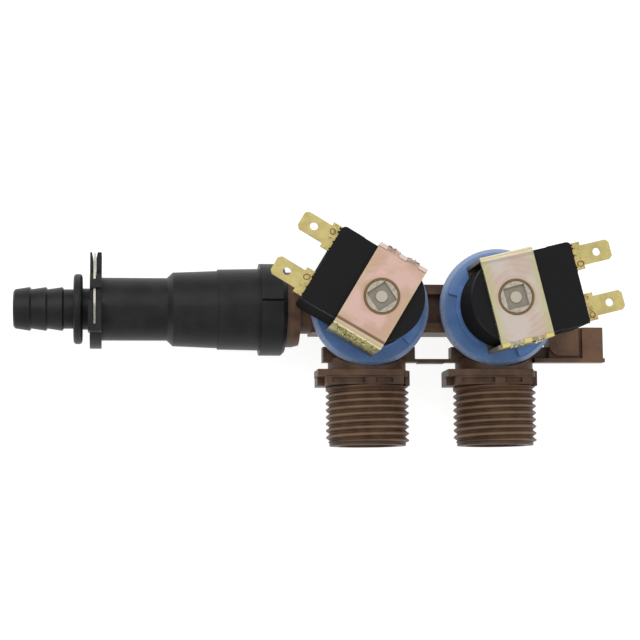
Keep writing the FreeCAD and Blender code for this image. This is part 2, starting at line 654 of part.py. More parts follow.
def waterways(owner):
    """Inlet bores, channels, chambers, seats, mixing duct and outlet bore."""
    for side in SIDES:
        centre = seat_x(side)
        clear = ring_outline(
            sketch(owner, f"bonnet_room_{side}", "XY_Plane", z=SKIRT_FOOT - S.run_gap),
            S.bonnet_d + 4 * S.run_gap,
            centre,
            S.seat_y,
        )
        ring_outline(clear, S.cup_d, centre, S.seat_y)
        pocket(owner, clear, S.ring_d, back=True)
        above = ring_outline(
            sketch(owner, f"bonnet_top_{side}", "XY_Plane", z=S.cup_top), S.bonnet_d, centre, S.seat_y
        )
        pocket(owner, above, S.ring_d, back=True)
        bore = outline(
            sketch(owner, f"inlet_bore_{side}", "YZ_Plane", z=centre),
            [
                (INLET_END, 0),
                (INLET_END, S.inlet_bore / 2),
                (SCREEN_SEAT, S.inlet_bore / 2),
                (SCREEN_SEAT, S.washer_bore / 2),
                (WASHER_SEAT, S.washer_bore / 2),
                (WASHER_SEAT, 0),
            ],
        )
        turned(owner, bore, "H_Axis", cut=True)
        channel = sketch(owner, f"channel_{side}", "XZ_Plane", z=-WASHER_SEAT)
        ring_outline(channel, S.channel_bore, centre, -S.channel_drop)
        reach = S.seat_y - S.port_reach + S.port_bore / 2
        pocket(owner, channel, reach - WASHER_SEAT)
        port = ring_outline(
            sketch(owner, f"port_{side}", "XY_Plane", z=S.moat_floor),
            S.port_bore,
            centre,
            S.seat_y - S.port_reach,
        )
        pocket(owner, port, S.moat_floor + S.channel_drop)
        seat = sketch(owner, f"moat_{side}", "XZ_Plane", z=-S.seat_y, x=centre)
        bead_in = S.bead_d / 2 - S.bead_width
        outline(
            seat,
            [
                (0, S.cup_top),
                (S.bead_d / 2, S.cup_top),
                (S.bead_d / 2, BEAD_FLOOR),
                (bead_in, BEAD_FLOOR),
                (bead_in, S.moat_floor),
                (S.seat_d / 2, S.moat_floor),
                (S.seat_d / 2, S.seat_top),
                (0, S.seat_top),
            ],
        )
        turned(owner, seat, "V_Axis", cut=True)
        hole = ring_outline(
            sketch(owner, f"seat_{side}", "XY_Plane", z=S.seat_top), S.seat_bore, centre, S.seat_y
        )
        pocket(owner, hole, S.seat_top + S.duct_drop + S.seat_pass)
    duct = sketch(owner, "duct", "YZ_Plane", z=-S.bar_left)
    ring_outline(duct, S.duct_bore, S.seat_y, -S.duct_drop)
    pocket(owner, duct, S.bar_left + S.inlet_spacing / 2, back=True)
    mouth = outline(
        sketch(owner, "outlet_bore", "XZ_Plane", z=-S.seat_y),
        [
            (SPIGOT_LEFT, 0),
            (SPIGOT_LEFT, S.outlet_bore / 2),
            (DUCT_MOUTH, S.outlet_bore / 2),
            (DUCT_MOUTH, 0),
        ],
    )
    turned(owner, mouth, "H_Axis", cut=True)


def valve_body():
    """The moulded manifold with its inlets, plate, chambers and outlet."""
    made = body("valve_body")
    plate = sketch(made, "plate", "XZ_Plane", z=-S.boss_proud)
    box_outline(plate, -S.plate_left, -S.plate_drop, S.plate_right, S.plate_top)
    pad(made, plate, S.plate_width, back=True)
    boss = sketch(made, "boss", "XZ_Plane")
    box_outline(boss, -S.boss_half, -S.boss_rise, S.boss_half, S.boss_rise)
    pad(made, boss, PLATE_BACK, back=True)
    for side in SIDES:
        centre = seat_x(side)
        root = S.thread_d / 2 - S.thread_depth
        stem = outline(
            sketch(made, f"stem_{side}", "YZ_Plane", z=centre),
            [
                (PLATE_BACK, 0),
                (PLATE_BACK, S.neck_d / 2),
                (-S.ring_gap, S.neck_d / 2),
                (-S.ring_gap, S.ring_d / 2),
                (RING_OUT, S.ring_d / 2),
                (RING_OUT, S.band_d / 2),
                (-S.thread_stop, S.band_d / 2),
                (-S.thread_stop, S.thread_d / 2),
                (INLET_END + S.thread_lead, S.thread_d / 2),
                (INLET_END + S.thread_lead, root),
                (INLET_END, root),
                (INLET_END, 0),
            ],
        )
        turned(made, stem, "H_Axis")
        thread(made, side, centre)
        inlet_root(made, side, centre)
        lugs(made, side, centre)
    bar = sketch(made, "bar", "XY_Plane", z=-S.bar_drop)
    half = S.bar_width / 2
    right = S.inlet_spacing / 2 + S.duct_bore
    box_outline(bar, -S.bar_left, S.seat_y - half, right, S.seat_y + half)
    pad(made, bar, S.bar_drop + S.bar_top)
    ear(made)
    outlet(made)
    ring_middle = (FLANGE_LEFT + SPIGOT_LEFT) / 2
    ring_groove(made, "ring_groove", "XZ_Plane", ring_middle, -S.seat_y, RING_CENTRE_SPIGOT)
    groove = sketch(made, "bar_groove", "XY_Plane", z=S.bar_top)
    half = S.bar_groove / 2
    box_outline(groove, -S.inlet_spacing / 2, S.seat_y - half, S.inlet_spacing / 2, S.seat_y + half)
    pocket(made, groove, S.bar_groove_depth)
    waterways(made)
    return made


def outlet_tube():
    """The stepped outlet tube with its clip housing; its own origin is on the tube's axis."""
    made = body("outlet_tube")
    place(made, y=S.seat_y)
    profile = outline(
        sketch(made, "wall", "XZ_Plane"),
        [
            (TUBE_END, SPIGOT_BORE / 2),
            (TUBE_END, S.collar_d / 2 - S.collar_chamfer),
            (TUBE_END - S.collar_chamfer, S.collar_d / 2),
            (COLLAR_LEFT, S.collar_d / 2),
            (COLLAR_LEFT, S.step_two_d / 2),
            (STEP_TWO_LEFT, S.step_two_end_d / 2),
            (STEP_TWO_LEFT, S.step_one_d / 2),
            (STEP_ONE_LEFT, S.step_one_end_d / 2),
            (SHOULDER_LEFT, S.tube_d / 2),
            (HOUSING_RIGHT, S.tube_d / 2),
            (HOUSING_RIGHT, S.housing_d / 2),
            (HOUSING_LEFT, S.housing_d / 2),
            (HOUSING_LEFT, S.tube_bore / 2),
            (SPIGOT_LEFT - S.tube_seat, S.tube_bore / 2),
            (SPIGOT_LEFT - S.tube_seat, SPIGOT_BORE / 2),
        ],
    )
    turned(made, profile, "H_Axis")
    split = sketch(made, "split", "XY_Plane", z=S.collar_d / 2)
    low = S.collar_split_y
    box_outline(split, COLLAR_LEFT, low, TUBE_END, low + S.collar_split)
    pocket(made, split, S.collar_split * 2)
    for name, low, high, deep, top, wide in (
        ("housing_ear", S.tube_bore / 2 + S.run_gap, S.ear_y, -S.ear_half, S.ear_half, S.housing_width),
        ("housing_pad", -S.pad_far, S.pad_near, S.tube_bore / 2 + S.run_gap, S.pad_rise, S.pad_width),
    ):
        block = sketch(made, name, "YZ_Plane", z=HOUSING_RIGHT - wide)
        box_outline(block, low, deep, high, top)
        pad(made, block, wide)
    notch = sketch(made, "housing_notch", "YZ_Plane", z=HOUSING_LEFT)
    box_outline(notch, S.pad_near, S.notch_rise, S.notch_end, S.pad_rise)
    pocket(made, notch, S.housing_width, back=True)
    slit = sketch(made, "slit", "YZ_Plane", z=SLIT_LEFT)
    gap = S.run_gap
    tip = -S.clip_tip - gap
    outer = S.clip_outer + gap
    outline(
        slit,
        [
            (tip, -outer),
            (S.ear_y + gap, -outer),
            (S.ear_y + gap, outer),
            (S.window_near, outer),
            (S.window_near, S.pad_rise + gap),
            (-S.window_far, S.pad_rise + gap),
            (-S.window_far, outer),
            (tip, outer),
        ],
    )
    pocket(made, slit, S.slit_width, back=True)
    mouth = sketch(made, "slit_mouth", "XY_Plane", z=S.ear_half + gap)
    middle = SLIT_LEFT + S.slit_width / 2
    outline(
        mouth,
        [
            (middle - S.ear_mouth / 2, S.ear_y + gap),
            (middle, S.ear_y - S.ear_mouth_depth),
            (middle + S.ear_mouth / 2, S.ear_y + gap),
        ],
    )
    pocket(made, mouth, (S.ear_half + gap) * 2)
    return made


def clip():
    """The U of spring steel that holds the nozzle; it slides in from the ear's end."""
    made = body("retaining_clip")
    place(made, y=S.seat_y)
    profile = outline(
        sketch(made, "sheet", "YZ_Plane", z=CLIP_LEFT),
        [
            (-S.clip_tip, S.clip_inner),
            (S.clip_arch, S.clip_inner),
            (S.clip_arch, -S.clip_inner),
            (-S.clip_tip, -S.clip_inner),
            (-S.clip_tip, -S.clip_outer),
            (S.clip_back, -S.clip_outer),
            (S.clip_back, -S.tongue_half),
            (S.clip_end, -S.tongue_half),
            (S.clip_end, S.tongue_half),
            (S.clip_back, S.tongue_half),
            (S.clip_back, S.clip_outer),
            (-S.clip_tip, S.clip_outer),
        ],
    )
    pad(made, profile, S.clip_width)
    corner = S.clip_arch.value

    def inner(edge):
        points = ends(edge)
        return len(points) == 2 and abs(points[0].x - points[1].x) > 0.01 and all(
            abs(p.y - corner) < 0.01 and abs(abs(p.z) - S.clip_inner.value) < 0.01 for p in points
        )

    round_edges(made, S.clip_width * 3, inner)


def nozzle():
    """The barbed hose nozzle, turned about the tube's axis."""
    made = body("barbed_nozzle")
    place(made, y=S.seat_y)
    barb, root = S.barb_d / 2, S.barb_root_d / 2
    ring_left = HOUSING_LEFT - S.bead_ring_gap - S.bead_ring_width
    shank_left = SLIT_LEFT + S.slit_width
    points = [(NOZZLE_TIP, S.nozzle_bore / 2), (NOZZLE_TIP, root - S.tip_chamfer)]
    points.append((NOZZLE_TIP + S.tip_chamfer, root))
    for i in range(int(S.barb_count.value)):
        peak = NOZZLE_TIP + S.barb_first + S.barb_pitch * i
        if i:
            points.append((peak - S.barb_pitch + S.barb_back, root))
        points.append((peak, barb))
    last = NOZZLE_TIP + S.barb_first + S.barb_pitch * (S.barb_count - 1)
    points += [
        (last + S.barb_back, root),
        (ring_left, root),
        (ring_left, S.bead_ring_d / 2),
        (ring_left + S.bead_ring_width, S.bead_ring_d / 2),
        (ring_left + S.bead_ring_width, S.stem_d / 2),
        (shank_left, S.stem_d / 2),
        (shank_left, SHANK_D / 2),
        (shank_left + S.shank_length, SHANK_D / 2),
        (shank_left + S.shank_length, S.nozzle_bore / 2),
    ]
    turned(made, outline(sketch(made, "wall", "XZ_Plane"), points), "H_Axis")
    ring_groove(made, "ring_groove", "XZ_Plane", shank_left + S.shank_length / 2, 0, RING_CENTRE_SHANK)

    def rim(edge):
        points = ends(edge)
        return len(points) == 1 and abs(edge.BoundBox.ZLength - S.bead_ring_d.value) < 0.01

    round_edges(made, S.tip_chamfer * 1.7, rim)


def seal_ring(name, x, centre_radius):
    """An O-ring round the tube's axis."""
    made = body(name)
    place(made, y=S.seat_y)
    profile = ring_outline(sketch(made, "wire", "XZ_Plane"), S.ring_wire, x, centre_radius)
    turned(made, profile, "H_Axis")


def inlet_screen(side):
    """The moulded strainer cup in an inlet, open towards the valve."""
    made = body(f"inlet_screen_{side}")
    place(made, x=seat_x(side), y=SCREEN_SEAT)
    cup = S.screen_cup_d / 2
    far = -S.screen_rim - S.screen_cup_depth
    profile = outline(
        sketch(made, "wall", "YZ_Plane"),
        [
            (0, cup - S.screen_wall),
            (0, S.inlet_bore / 2),
            (-S.screen_rim, S.inlet_bore / 2),
            (-S.screen_rim, cup),
            (far, cup),
            (far, 0),
            (far + S.screen_wall, 0),
            (far + S.screen_wall, cup - S.screen_wall),
        ],
    )
    turned(made, profile, "H_Axis")
    half = S.screen_slot_width / 2
    slot = sketch(made, "slot", "XY_Plane")
    box_outline(slot, -half, far + S.screen_wall * 2, half, -S.screen_rim - S.screen_wall)
    cut = pocket(made, slot, S.screen_cup_d, back=True)
    pattern(made, cut, S.screen_slots, "Y_Axis")
    holes = sketch(made, "holes", "XZ_Plane", z=-far)
    half = S.screen_hole / 2
    for i in range(-2, 3):
        for j in range(-2, 3):
            if abs(i) + abs(j) < 4:
                x, z = S.screen_hole_pitch * i, S.screen_hole_pitch * j
                box_outline(holes, x - half, z - half, x + half, z + half)
    pocket(made, holes, S.screen_wall * 1.5)


def flow_washer(side):
    """The rubber flow washer behind a screen."""
    made = body(f"flow_washer_{side}")
    place(made, x=seat_x(side), y=WASHER_SEAT)
    profile = ring_outline(sketch(made, "ring", "XZ_Plane"), S.washer_bore)
    ring_outline(profile, S.washer_hole)
    pad(made, profile, S.washer_width)


def diaphragm(side):
    """The rubber diaphragm with its clamped bead."""
    made = body(f"diaphragm_{side}")
    place(made, x=seat_x(side), y=S.seat_y)
    bead_in = S.bead_d / 2 - S.bead_width
    profile = outline(
        sketch(made, "wall", "XZ_Plane"),
        [
            (S.film_bore / 2, FILM_UNDER),
            (bead_in, FILM_UNDER),
            (bead_in, BEAD_FLOOR),
            (S.bead_d / 2, BEAD_FLOOR),
            (S.bead_d / 2, S.cup_top),
            (bead_in, S.cup_top),
            (bead_in, FILM_TOP),
            (S.film_bore / 2, FILM_TOP),
        ],
    )
    turned(made, profile)


def diaphragm_insert(side):
    """The stiff insert in the diaphragm, with the pilot hole."""
    made = body(f"diaphragm_insert_{side}")
    place(made, x=seat_x(side), y=S.seat_y)
    low = FILM_UNDER - S.insert_stem_drop
    barb = S.film_bore / 2 + S.run_gap * 2
    profile = outline(
        sketch(made, "wall", "XZ_Plane"),
        [
            (S.pilot_bore / 2, low),
            (S.film_bore / 2 - S.film, low),
            (barb, FILM_UNDER - S.film),
            (barb, FILM_UNDER),
            (S.film_bore / 2, FILM_UNDER),
            (S.film_bore / 2, FILM_TOP),
            (S.insert_flange_d / 2, FILM_TOP),
            (S.insert_flange_d / 2, INSERT_TOP),
            (S.nipple_d / 2, INSERT_TOP),
            (S.nipple_d / 2, NIPPLE_TOP),
            (S.pilot_bore / 2, NIPPLE_TOP),
        ],
    )
    turned(made, profile)


def guide_tube(side):
    """The moulded guide tube: flange, dome and closed tube round the plunger."""
    made = body(f"guide_tube_{side}")
    turn = S.square_angle_left if side == "left" else S.square_angle_right
    place(made, x=seat_x(side), y=S.seat_y, turn=turn)
    profile = outline(
        sketch(made, "wall", "XZ_Plane"),
        [
            (S.dome_bore / 2, S.cup_top),
            (S.cup_d / 2, S.cup_top),
            (S.cup_d / 2, FLANGE_TOP),
            (S.dome_d / 2, FLANGE_TOP),
            (S.dome_d / 2, S.dome_top),
            (S.guide_d / 2, S.dome_top),
            (S.guide_d / 2, COIL_TOP),
            (0, COIL_TOP),
            (0, GUIDE_CEILING),
            (S.guide_bore / 2, GUIDE_CEILING),
            (S.guide_bore / 2, S.dome_ceiling),
            (S.dome_bore / 2, S.dome_ceiling),
        ],
    )
    turned(made, profile)
    half = S.guide_square / 2
    recess = box_outline(sketch(made, "recess", "XY_Plane", z=COIL_TOP), -half, -half, half, half)
    pocket(made, recess, S.guide_square_depth)
    pip = ring_outline(sketch(made, "pip", "XY_Plane", z=COIL_TOP - S.guide_square_depth), S.guide_pip_d)
    pad(made, pip, S.guide_pip_height)


def bonnet(side):
    """The round bonnet that clamps the guide tube on its chamber."""
    made = body(f"bonnet_{side}")
    turn = S.bonnet_angle_left if side == "left" else S.bonnet_angle_right
    place(made, x=seat_x(side), y=S.seat_y, turn=turn)
    outer = S.bonnet_d / 2
    inner = outer - S.bonnet_wall
    low = S.bonnet_top - S.ramp_step
    profile = outline(
        sketch(made, "wall", "XZ_Plane"),
        [
            (S.dome_d / 2, FLANGE_TOP),
            (inner, FLANGE_TOP),
            (inner, SKIRT_FOOT),
            (outer, SKIRT_FOOT),
            (outer, low - S.bonnet_chamfer),
            (outer - S.bonnet_chamfer, low),
            (S.ramp_outer_d / 2, low),
            (S.ramp_outer_d / 2, S.bonnet_top),
            (S.boss_d / 2, S.bonnet_top),
            (S.boss_d / 2, S.boss_top),
            (S.guide_d / 2 + S.run_gap, S.boss_top),
            (S.guide_d / 2 + S.run_gap, S.dome_top),
            (S.dome_d / 2, S.dome_top),
        ],
    )
    turned(made, profile)
    sector = sketch(made, "sector", "XZ_Plane")
    box_outline(sector, S.ramp_inner_d / 2, low, S.ramp_outer_d / 2, S.bonnet_top)
    turned(made, sector, cut=True, angle=S.ramp_sector)


def plunger(side):
    """The steel plunger with its spring well and water slots."""
    made = body(f"plunger_{side}")
    place(made, x=seat_x(side), y=S.seat_y)
    base = ring_outline(sketch(made, "rod", "XY_Plane", z=PLUNGER_FOOT), S.plunger_d)
    pad(made, base, S.plunger_length)
    well = ring_outline(sketch(made, "well", "XY_Plane", z=PLUNGER_TOP), S.plunger_well_d)
    pocket(made, well, S.plunger_well_depth)
    seal = ring_outline(sketch(made, "seal", "XY_Plane", z=PLUNGER_FOOT), S.seal_d)
    pocket(made, seal, S.seal_height - S.seal_proud, back=True)
    half = S.plunger_slot / 2
    slot = sketch(made, "slot", "XY_Plane", z=PLUNGER_TOP)
    box_outline(slot, S.plunger_d / 2 - half, -half, S.plunger_d / 2 + half, half)
    cut = pocket(made, slot, S.plunger_length)
    pattern(made, cut, 2)
    seal_made = body(f"plunger_seal_{side}")
    place(seal_made, x=seat_x(side), y=S.seat_y)
    face = ring_outline(sketch(seal_made, "face", "XY_Plane", z=NIPPLE_TOP), S.seal_d)
    pad(seal_made, face, S.seal_height)


def plunger_spring(side):
    """The coil spring between the plunger's well and the closed end of the guide tube."""
    made = body(f"plunger_spring_{side}")
    place(made, x=seat_x(side), y=S.seat_y)
    radius = S.spring_d / 2 - S.spring_wire / 2
    span = GUIDE_CEILING - WELL_FLOOR - S.spring_wire
    wire = sketch(made, "wire", "XZ_Plane")
    ring_outline(wire, S.spring_wire, radius, WELL_FLOOR + S.spring_wire / 2)
    coil = made.newObject("PartDesign::AdditiveHelix", f"{made.Name}_helix")
    coil.Profile = wire
    coil.ReferenceAxis = (wire, ["V_Axis"])
    coil.Mode = 0
    bind(coil, "Pitch", span / S.spring_turns)
    bind(coil, "Height", span)
    made.Tip = coil


def place_coil(made, side):
    """Puts a coil piece on its guide tube, turned to its terminals' direction."""
    turn = S.coil_angle_left if side == "left" else S.coil_angle_right
    place(made, x=seat_x(side), y=S.seat_y, turn=turn)


def coil_core(side):
    """Flux sleeve, bobbin and winding inside the moulding."""
    made = body(f"flux_sleeve_{side}")
    place_coil(made, side)
    ring = ring_outline(sketch(made, "ring", "XY_Plane", z=COIL_FOOT), SLEEVE_D)
    ring_outline(ring, SLEEVE_BORE)
    pad(made, ring, S.coil_height)
    made = body(f"bobbin_{side}")
    place_coil(made, side)
    barrel = SLEEVE_D / 2 + S.bobbin_wall
    profile = outline(
        sketch(made, "wall", "XZ_Plane"),
        [
            (SLEEVE_D / 2, BOBBIN_FOOT),
            (S.bobbin_d / 2, BOBBIN_FOOT),
            (S.bobbin_d / 2, BOBBIN_FOOT + S.bobbin_flange),
            (barrel, BOBBIN_FOOT + S.bobbin_flange),
            (barrel, BOBBIN_TOP - S.bobbin_flange),
            (S.bobbin_d / 2, BOBBIN_TOP - S.bobbin_flange),
            (S.bobbin_d / 2, BOBBIN_TOP),
            (SLEEVE_D / 2, BOBBIN_TOP),
        ],
    )
    turned(made, profile)
    made = body(f"winding_{side}")
    place_coil(made, side)
    low = BOBBIN_FOOT + S.bobbin_flange
    ring = ring_outline(sketch(made, "ring", "XY_Plane", z=low), S.winding_d)
    ring_outline(ring, barrel * 2)
    pad(made, ring, BOBBIN_TOP - S.bobbin_flange - low)


def coil_moulding(side):
    """The moulded cover of a coil: a round end and a square block that holds the terminals."""
    made = body(f"coil_moulding_{side}")
    place_coil(made, side)
    height = MOULD_TOP - MOULD_FOOT
    drum = ring_outline(sketch(made, "drum", "XY_Plane", z=MOULD_FOOT), S.moulding_r * 2)
    pad(made, drum, height)
    block = sketch(made, "block", "XY_Plane", z=MOULD_FOOT)
    box_outline(block, 0, -S.moulding_half, S.moulding_reach, S.moulding_half)
    pad(made, block, height)
    reach, half = S.moulding_reach, S.moulding_half
    corners = [upright_at(reach, half), upright_at(reach, -half)]
    round_edges(made, S.moulding_corner, lambda edge: any(corner(edge) for corner in corners))
    flats = sketch(made, "flats", "XY_Plane", z=MOULD_FOOT)
    for sign in (-1, 1):
        near, far = S.moulding_flat * sign, S.moulding_r * 1.1 * sign
        low, high = (near, far) if sign > 0 else (far, near)
        box_outline(flats, -S.moulding_r, low, S.moulding_r, high)
    pocket(made, flats, height, back=True)
    low, high = BOBBIN_FOOT + S.bobbin_flange, BOBBIN_TOP - S.bobbin_flange
    cavity = outline(
        sketch(made, "cavity", "XZ_Plane"),
        [
            (0, MOULD_FOOT),
            (SLEEVE_D / 2, MOULD_FOOT),
            (SLEEVE_D / 2, BOBBIN_FOOT),
            (S.bobbin_d / 2, BOBBIN_FOOT),
            (S.bobbin_d / 2, low),
            (S.winding_d / 2, low),
            (S.winding_d / 2, high),
            (S.bobbin_d / 2, high),
            (S.bobbin_d / 2, BOBBIN_TOP),
            (SLEEVE_D / 2, BOBBIN_TOP),
            (SLEEVE_D / 2, MOULD_TOP),
            (0, MOULD_TOP),
        ],
    )
    turned(made, cavity, cut=True)
    slots = sketch(made, "terminals", "YZ_Plane", z=S.moulding_reach)
    half = S.terminal_sheet / 2
    for sign in (-1, 1):
        middle = S.terminal_spacing / 2 * sign
        wide = S.terminal_width / 2 + S.terminal_shoulder
        box_outline(slots, middle - wide, TERMINAL_Z - half, middle + wide, TERMINAL_Z + half)
    pocket(made, slots, S.terminal_root)


def yoke(side, upper):
    """One L of the steel yoke; the upper and the lower one are the same shape turned over."""
    made = body(f"yoke_{'upper' if upper else 'lower'}_{side}")
    place_coil(made, side)
    way = 1 if upper else -1
    half_x, half_y = S.yoke_width / 2, S.yoke_length / 2
    inner = half_y - S.yoke_sheet
    plate_low = MOULD_TOP if upper else COIL_FOOT
    plate_high = COIL_TOP if upper else MOULD_FOOT
    finger = (S.yoke_width - S.yoke_tooth * 2) / 6
    slack = S.yoke_slack
    notch = [
        (-half_x, -half_y + S.yoke_sheet + slack),
        (-half_x + finger * 2 + slack, -half_y + S.yoke_sheet + slack),
        (-half_x + finger * 2 + slack, -half_y),
        (-finger - slack, -half_y),
        (-finger - slack, -half_y + S.yoke_sheet + slack),
    ]
    edge = notch + [(-x, y) for x, y in reversed(notch)]
    points = [(-half_x, half_y)] + edge + [(half_x, half_y)]
    middle = S.yoke_offset
    plate = sketch(made, "plate", "XY_Plane", z=plate_low)
    outline(plate, [(x + middle, y * way) for x, y in points])
    pad(made, plate, S.yoke_sheet)
    far = COIL_FOOT if upper else COIL_TOP
    tip = far - S.yoke_proud * way
    shoulder = far + S.yoke_sheet * way
    start = plate_high if upper else plate_low
    fingers = [
        (-half_x, start),
        (-half_x, tip),
        (-half_x + finger * 2, tip),
        (-half_x + finger * 2, shoulder),
        (-finger, shoulder),
        (-finger, tip),
    ]
    arm_points = fingers + [(-x, z) for x, z in reversed(fingers)]
    face = -half_y if upper else inner
    arm = sketch(made, "arm", "XZ_Plane", z=face)
    outline(arm, [(x + middle, z) for x, z in arm_points])
    pad(made, arm, S.yoke_sheet)
    fold = plate_high if upper else plate_low

    def bend(edge):
        points = ends(edge)
        return len(points) == 2 and all(
            abs(p.y - (half_y * way).value) < 0.01 and abs(p.z - fold.value) < 0.01 for p in points
        )

    round_edges(made, S.yoke_bend, bend)
    hole = ring_outline(sketch(made, "hole", "XY_Plane", z=plate_low), YOKE_HOLE)
    pocket(made, hole, S.yoke_sheet, back=True)


def terminal(side, which, sign):
    """A push-on tab with its root in the moulding."""
    made = body(f"terminal_{which}_{side}")
    place_coil(made, side)
    middle = S.terminal_spacing / 2 * sign
    half = S.terminal_width / 2
    wide = half + S.terminal_shoulder
    root = S.moulding_reach - S.terminal_root
    neck = S.moulding_reach + S.terminal_shoulder_length
    tip = S.terminal_reach
    cut = S.terminal_chamfer
    tab = outline(
        sketch(made, "tab", "XY_Plane", z=TERMINAL_Z - S.terminal_sheet / 2),
        [
            (root, middle - wide),
            (neck, middle - wide),
            (neck, middle - half),
            (tip - cut, middle - half),
            (tip, middle - half + cut),
            (tip, middle + half - cut),
            (tip - cut, middle + half),
            (neck, middle + half),
            (neck, middle + wide),
            (root, middle + wide),
        ],
    )
    ring_outline(tab, S.terminal_hole, tip - S.terminal_hole_inset, middle)
    pad(made, tab, S.terminal_sheet)


def main():
    """Builds the pieces and writes each one's STEP file."""
    valve_body()
    outlet_tube()
    clip()
    nozzle()
    seal_ring("outlet_seal_ring", (FLANGE_LEFT + SPIGOT_LEFT) / 2, RING_CENTRE_SPIGOT)
    seal_ring("nozzle_seal_ring", SLIT_LEFT + S.slit_width + S.shank_length / 2, RING_CENTRE_SHANK)
    for side in SIDES:
        inlet_screen(side)
        flow_washer(side)
        diaphragm(side)
        diaphragm_insert(side)
        guide_tube(side)
        bonnet(side)
        plunger(side)
        plunger_spring(side)
        coil_core(side)
        coil_moulding(side)
        yoke(side, True)
        yoke(side, False)
        terminal(side, "rear", 1)
        terminal(side, "front", -1)
    doc.recompute()
    write()


def write():
    """Checks every object and writes each sub-part's own file."""
    for item in doc.Objects:
        if "Invalid" in item.State or "Error" in item.State:
            raise RuntimeError(f"{item.Name}: {item.State} {item.getStatusString()}")
    os.makedirs("parts", exist_ok=True)
    for item in doc.Objects:
        if not item.isDerivedFrom("PartDesign::Body"):
            continue
        shape = item.Shape
        if shape.isNull() or not shape.isValid() or not shape.Solids:
            raise RuntimeError(f"{item.Label}: no valid solid")
        if len(shape.Solids) != 1:
            raise RuntimeError(f"{item.Label}: {len(shape.Solids)} solids")
        shape.exportStep(f"parts/{item.Label}.step")


main()
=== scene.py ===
import math

import bpy
from mathutils import Matrix, Vector


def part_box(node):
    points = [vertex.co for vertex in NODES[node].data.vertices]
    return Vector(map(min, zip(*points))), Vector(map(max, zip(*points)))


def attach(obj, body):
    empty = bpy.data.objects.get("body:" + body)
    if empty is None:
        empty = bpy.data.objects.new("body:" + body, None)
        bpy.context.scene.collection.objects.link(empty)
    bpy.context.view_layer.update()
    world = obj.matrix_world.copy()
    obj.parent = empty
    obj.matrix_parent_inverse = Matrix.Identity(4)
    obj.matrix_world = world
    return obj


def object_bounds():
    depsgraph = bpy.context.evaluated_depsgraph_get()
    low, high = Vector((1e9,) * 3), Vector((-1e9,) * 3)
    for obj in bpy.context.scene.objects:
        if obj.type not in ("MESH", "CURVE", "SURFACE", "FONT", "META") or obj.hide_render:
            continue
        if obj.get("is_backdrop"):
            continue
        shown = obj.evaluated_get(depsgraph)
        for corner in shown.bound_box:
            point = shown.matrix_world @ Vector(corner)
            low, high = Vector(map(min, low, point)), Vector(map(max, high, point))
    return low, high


bl_info = {
    "name": "Twin Inlet Valve",
    "version": (1, 0, 0),
    "blender": (4, 5, 0),
    "location": "3D View > Sidebar > Inlet Valve",
    "description": "Dresses a twin solenoid inlet valve and sets it on a pale studio floor",
    "category": "Add Mesh",
}

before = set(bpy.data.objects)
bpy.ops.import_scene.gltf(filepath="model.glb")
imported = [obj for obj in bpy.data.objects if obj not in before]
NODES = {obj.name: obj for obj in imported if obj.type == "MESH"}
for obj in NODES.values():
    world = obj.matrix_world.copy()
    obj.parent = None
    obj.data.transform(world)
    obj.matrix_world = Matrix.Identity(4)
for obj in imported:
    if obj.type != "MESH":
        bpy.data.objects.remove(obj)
SIDES = ("left", "right")

# Yokes, in metres along a coil's own axes: X to the terminals, Y to the fold
YOKE_OFFSET = 0.00035
YOKE_HALF = 0.00842
YOKE_INSIDE = 0.0132
YOKE_OUTSIDE = YOKE_INSIDE + 0.0013
FINGER_PITCH = 0.00703
FINGER_HALF = 0.00142
TOOTH_SPAN = 0.0034

# Tabs, in metres along the same axes: the coil's face, a tab's sizes, its stained root, its loop of wire
TERMINAL_FACE = 0.0213
TAB_MIDDLE = 0.0082
TAB_HALF = 0.0036
TAB_SHEET = 0.0008
STAIN_START = TERMINAL_FACE + 0.001
STAIN_END = TERMINAL_FACE + 0.0035
LOOP_MIDDLE = TERMINAL_FACE + 0.0017

# Crumbs of flash round a tab's root, in half widths across it and in sheets above it
FLASH_ACROSS = (-1.1, -0.8, 0.2, 0.9, 1.15)
FLASH_ABOVE = (-0.4, 0.5)

# Guide tube, in metres: its radius, how deep the recess in its end starts and stops, the pip's radii
GUIDE_RADIUS = 0.00505
RECESS_LIP = 0.0004
RECESS_FLOOR = 0.00075
PIP_INSIDE = 0.0023
PIP_OUTSIDE = 0.0025

# Bonnet, in metres: radii from the coil's axis, its boss above the ring, where along Y its painted light
# grows
BONNET_SLOPE = 0.0125
BONNET_RIM = 0.0174
BONNET_EDGE = 0.0184
BOSS_RISE = 0.0023
LIT_START = 0.012
LIT_END = 0.036

# Manifold, in metres: radii of the hose thread, where it starts along -Y, where the ear lies along X and its
# painted highlight grows
THREAD_ROOT = 0.0128
THREAD_CREST = 0.0134
THREAD_START = -0.0095
EAR_START = 0.036
EAR_END = 0.05

# Burrs: how many, how far a tooth's stand proud and the fold's are sunk, in metres,
# and the steps that spread the fold's evenly over its face
TOOTH_BURRS = 6
TOOTH_BURR_PROUD = 0.0001
FOLD_BURRS = 70
FOLD_BURR_SUNK = 0.00005
SPREAD_ALONG = 0.618034
SPREAD_DOWN = 0.754878
FOLD_BURR_START = 0.0078
FOLD_BURR_RUN = 0.0138
FOLD_BURR_TOP = 0.0012
FOLD_BURR_DROP = 0.0125

# Plating's rings, in radians of colour to a metre; the winding's pitch in metres; a turn in radians
RING_RATE = 3300.0
WINDING_PITCH = 0.0003
FULL_TURN = 6.28

# Where the lamps aim, in metres
LAMP_AIM = (-0.03, 0.01, 0.0)


def middle(node):
    """Centre of a node's box."""
    low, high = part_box(node)
    return (low + high) / 2


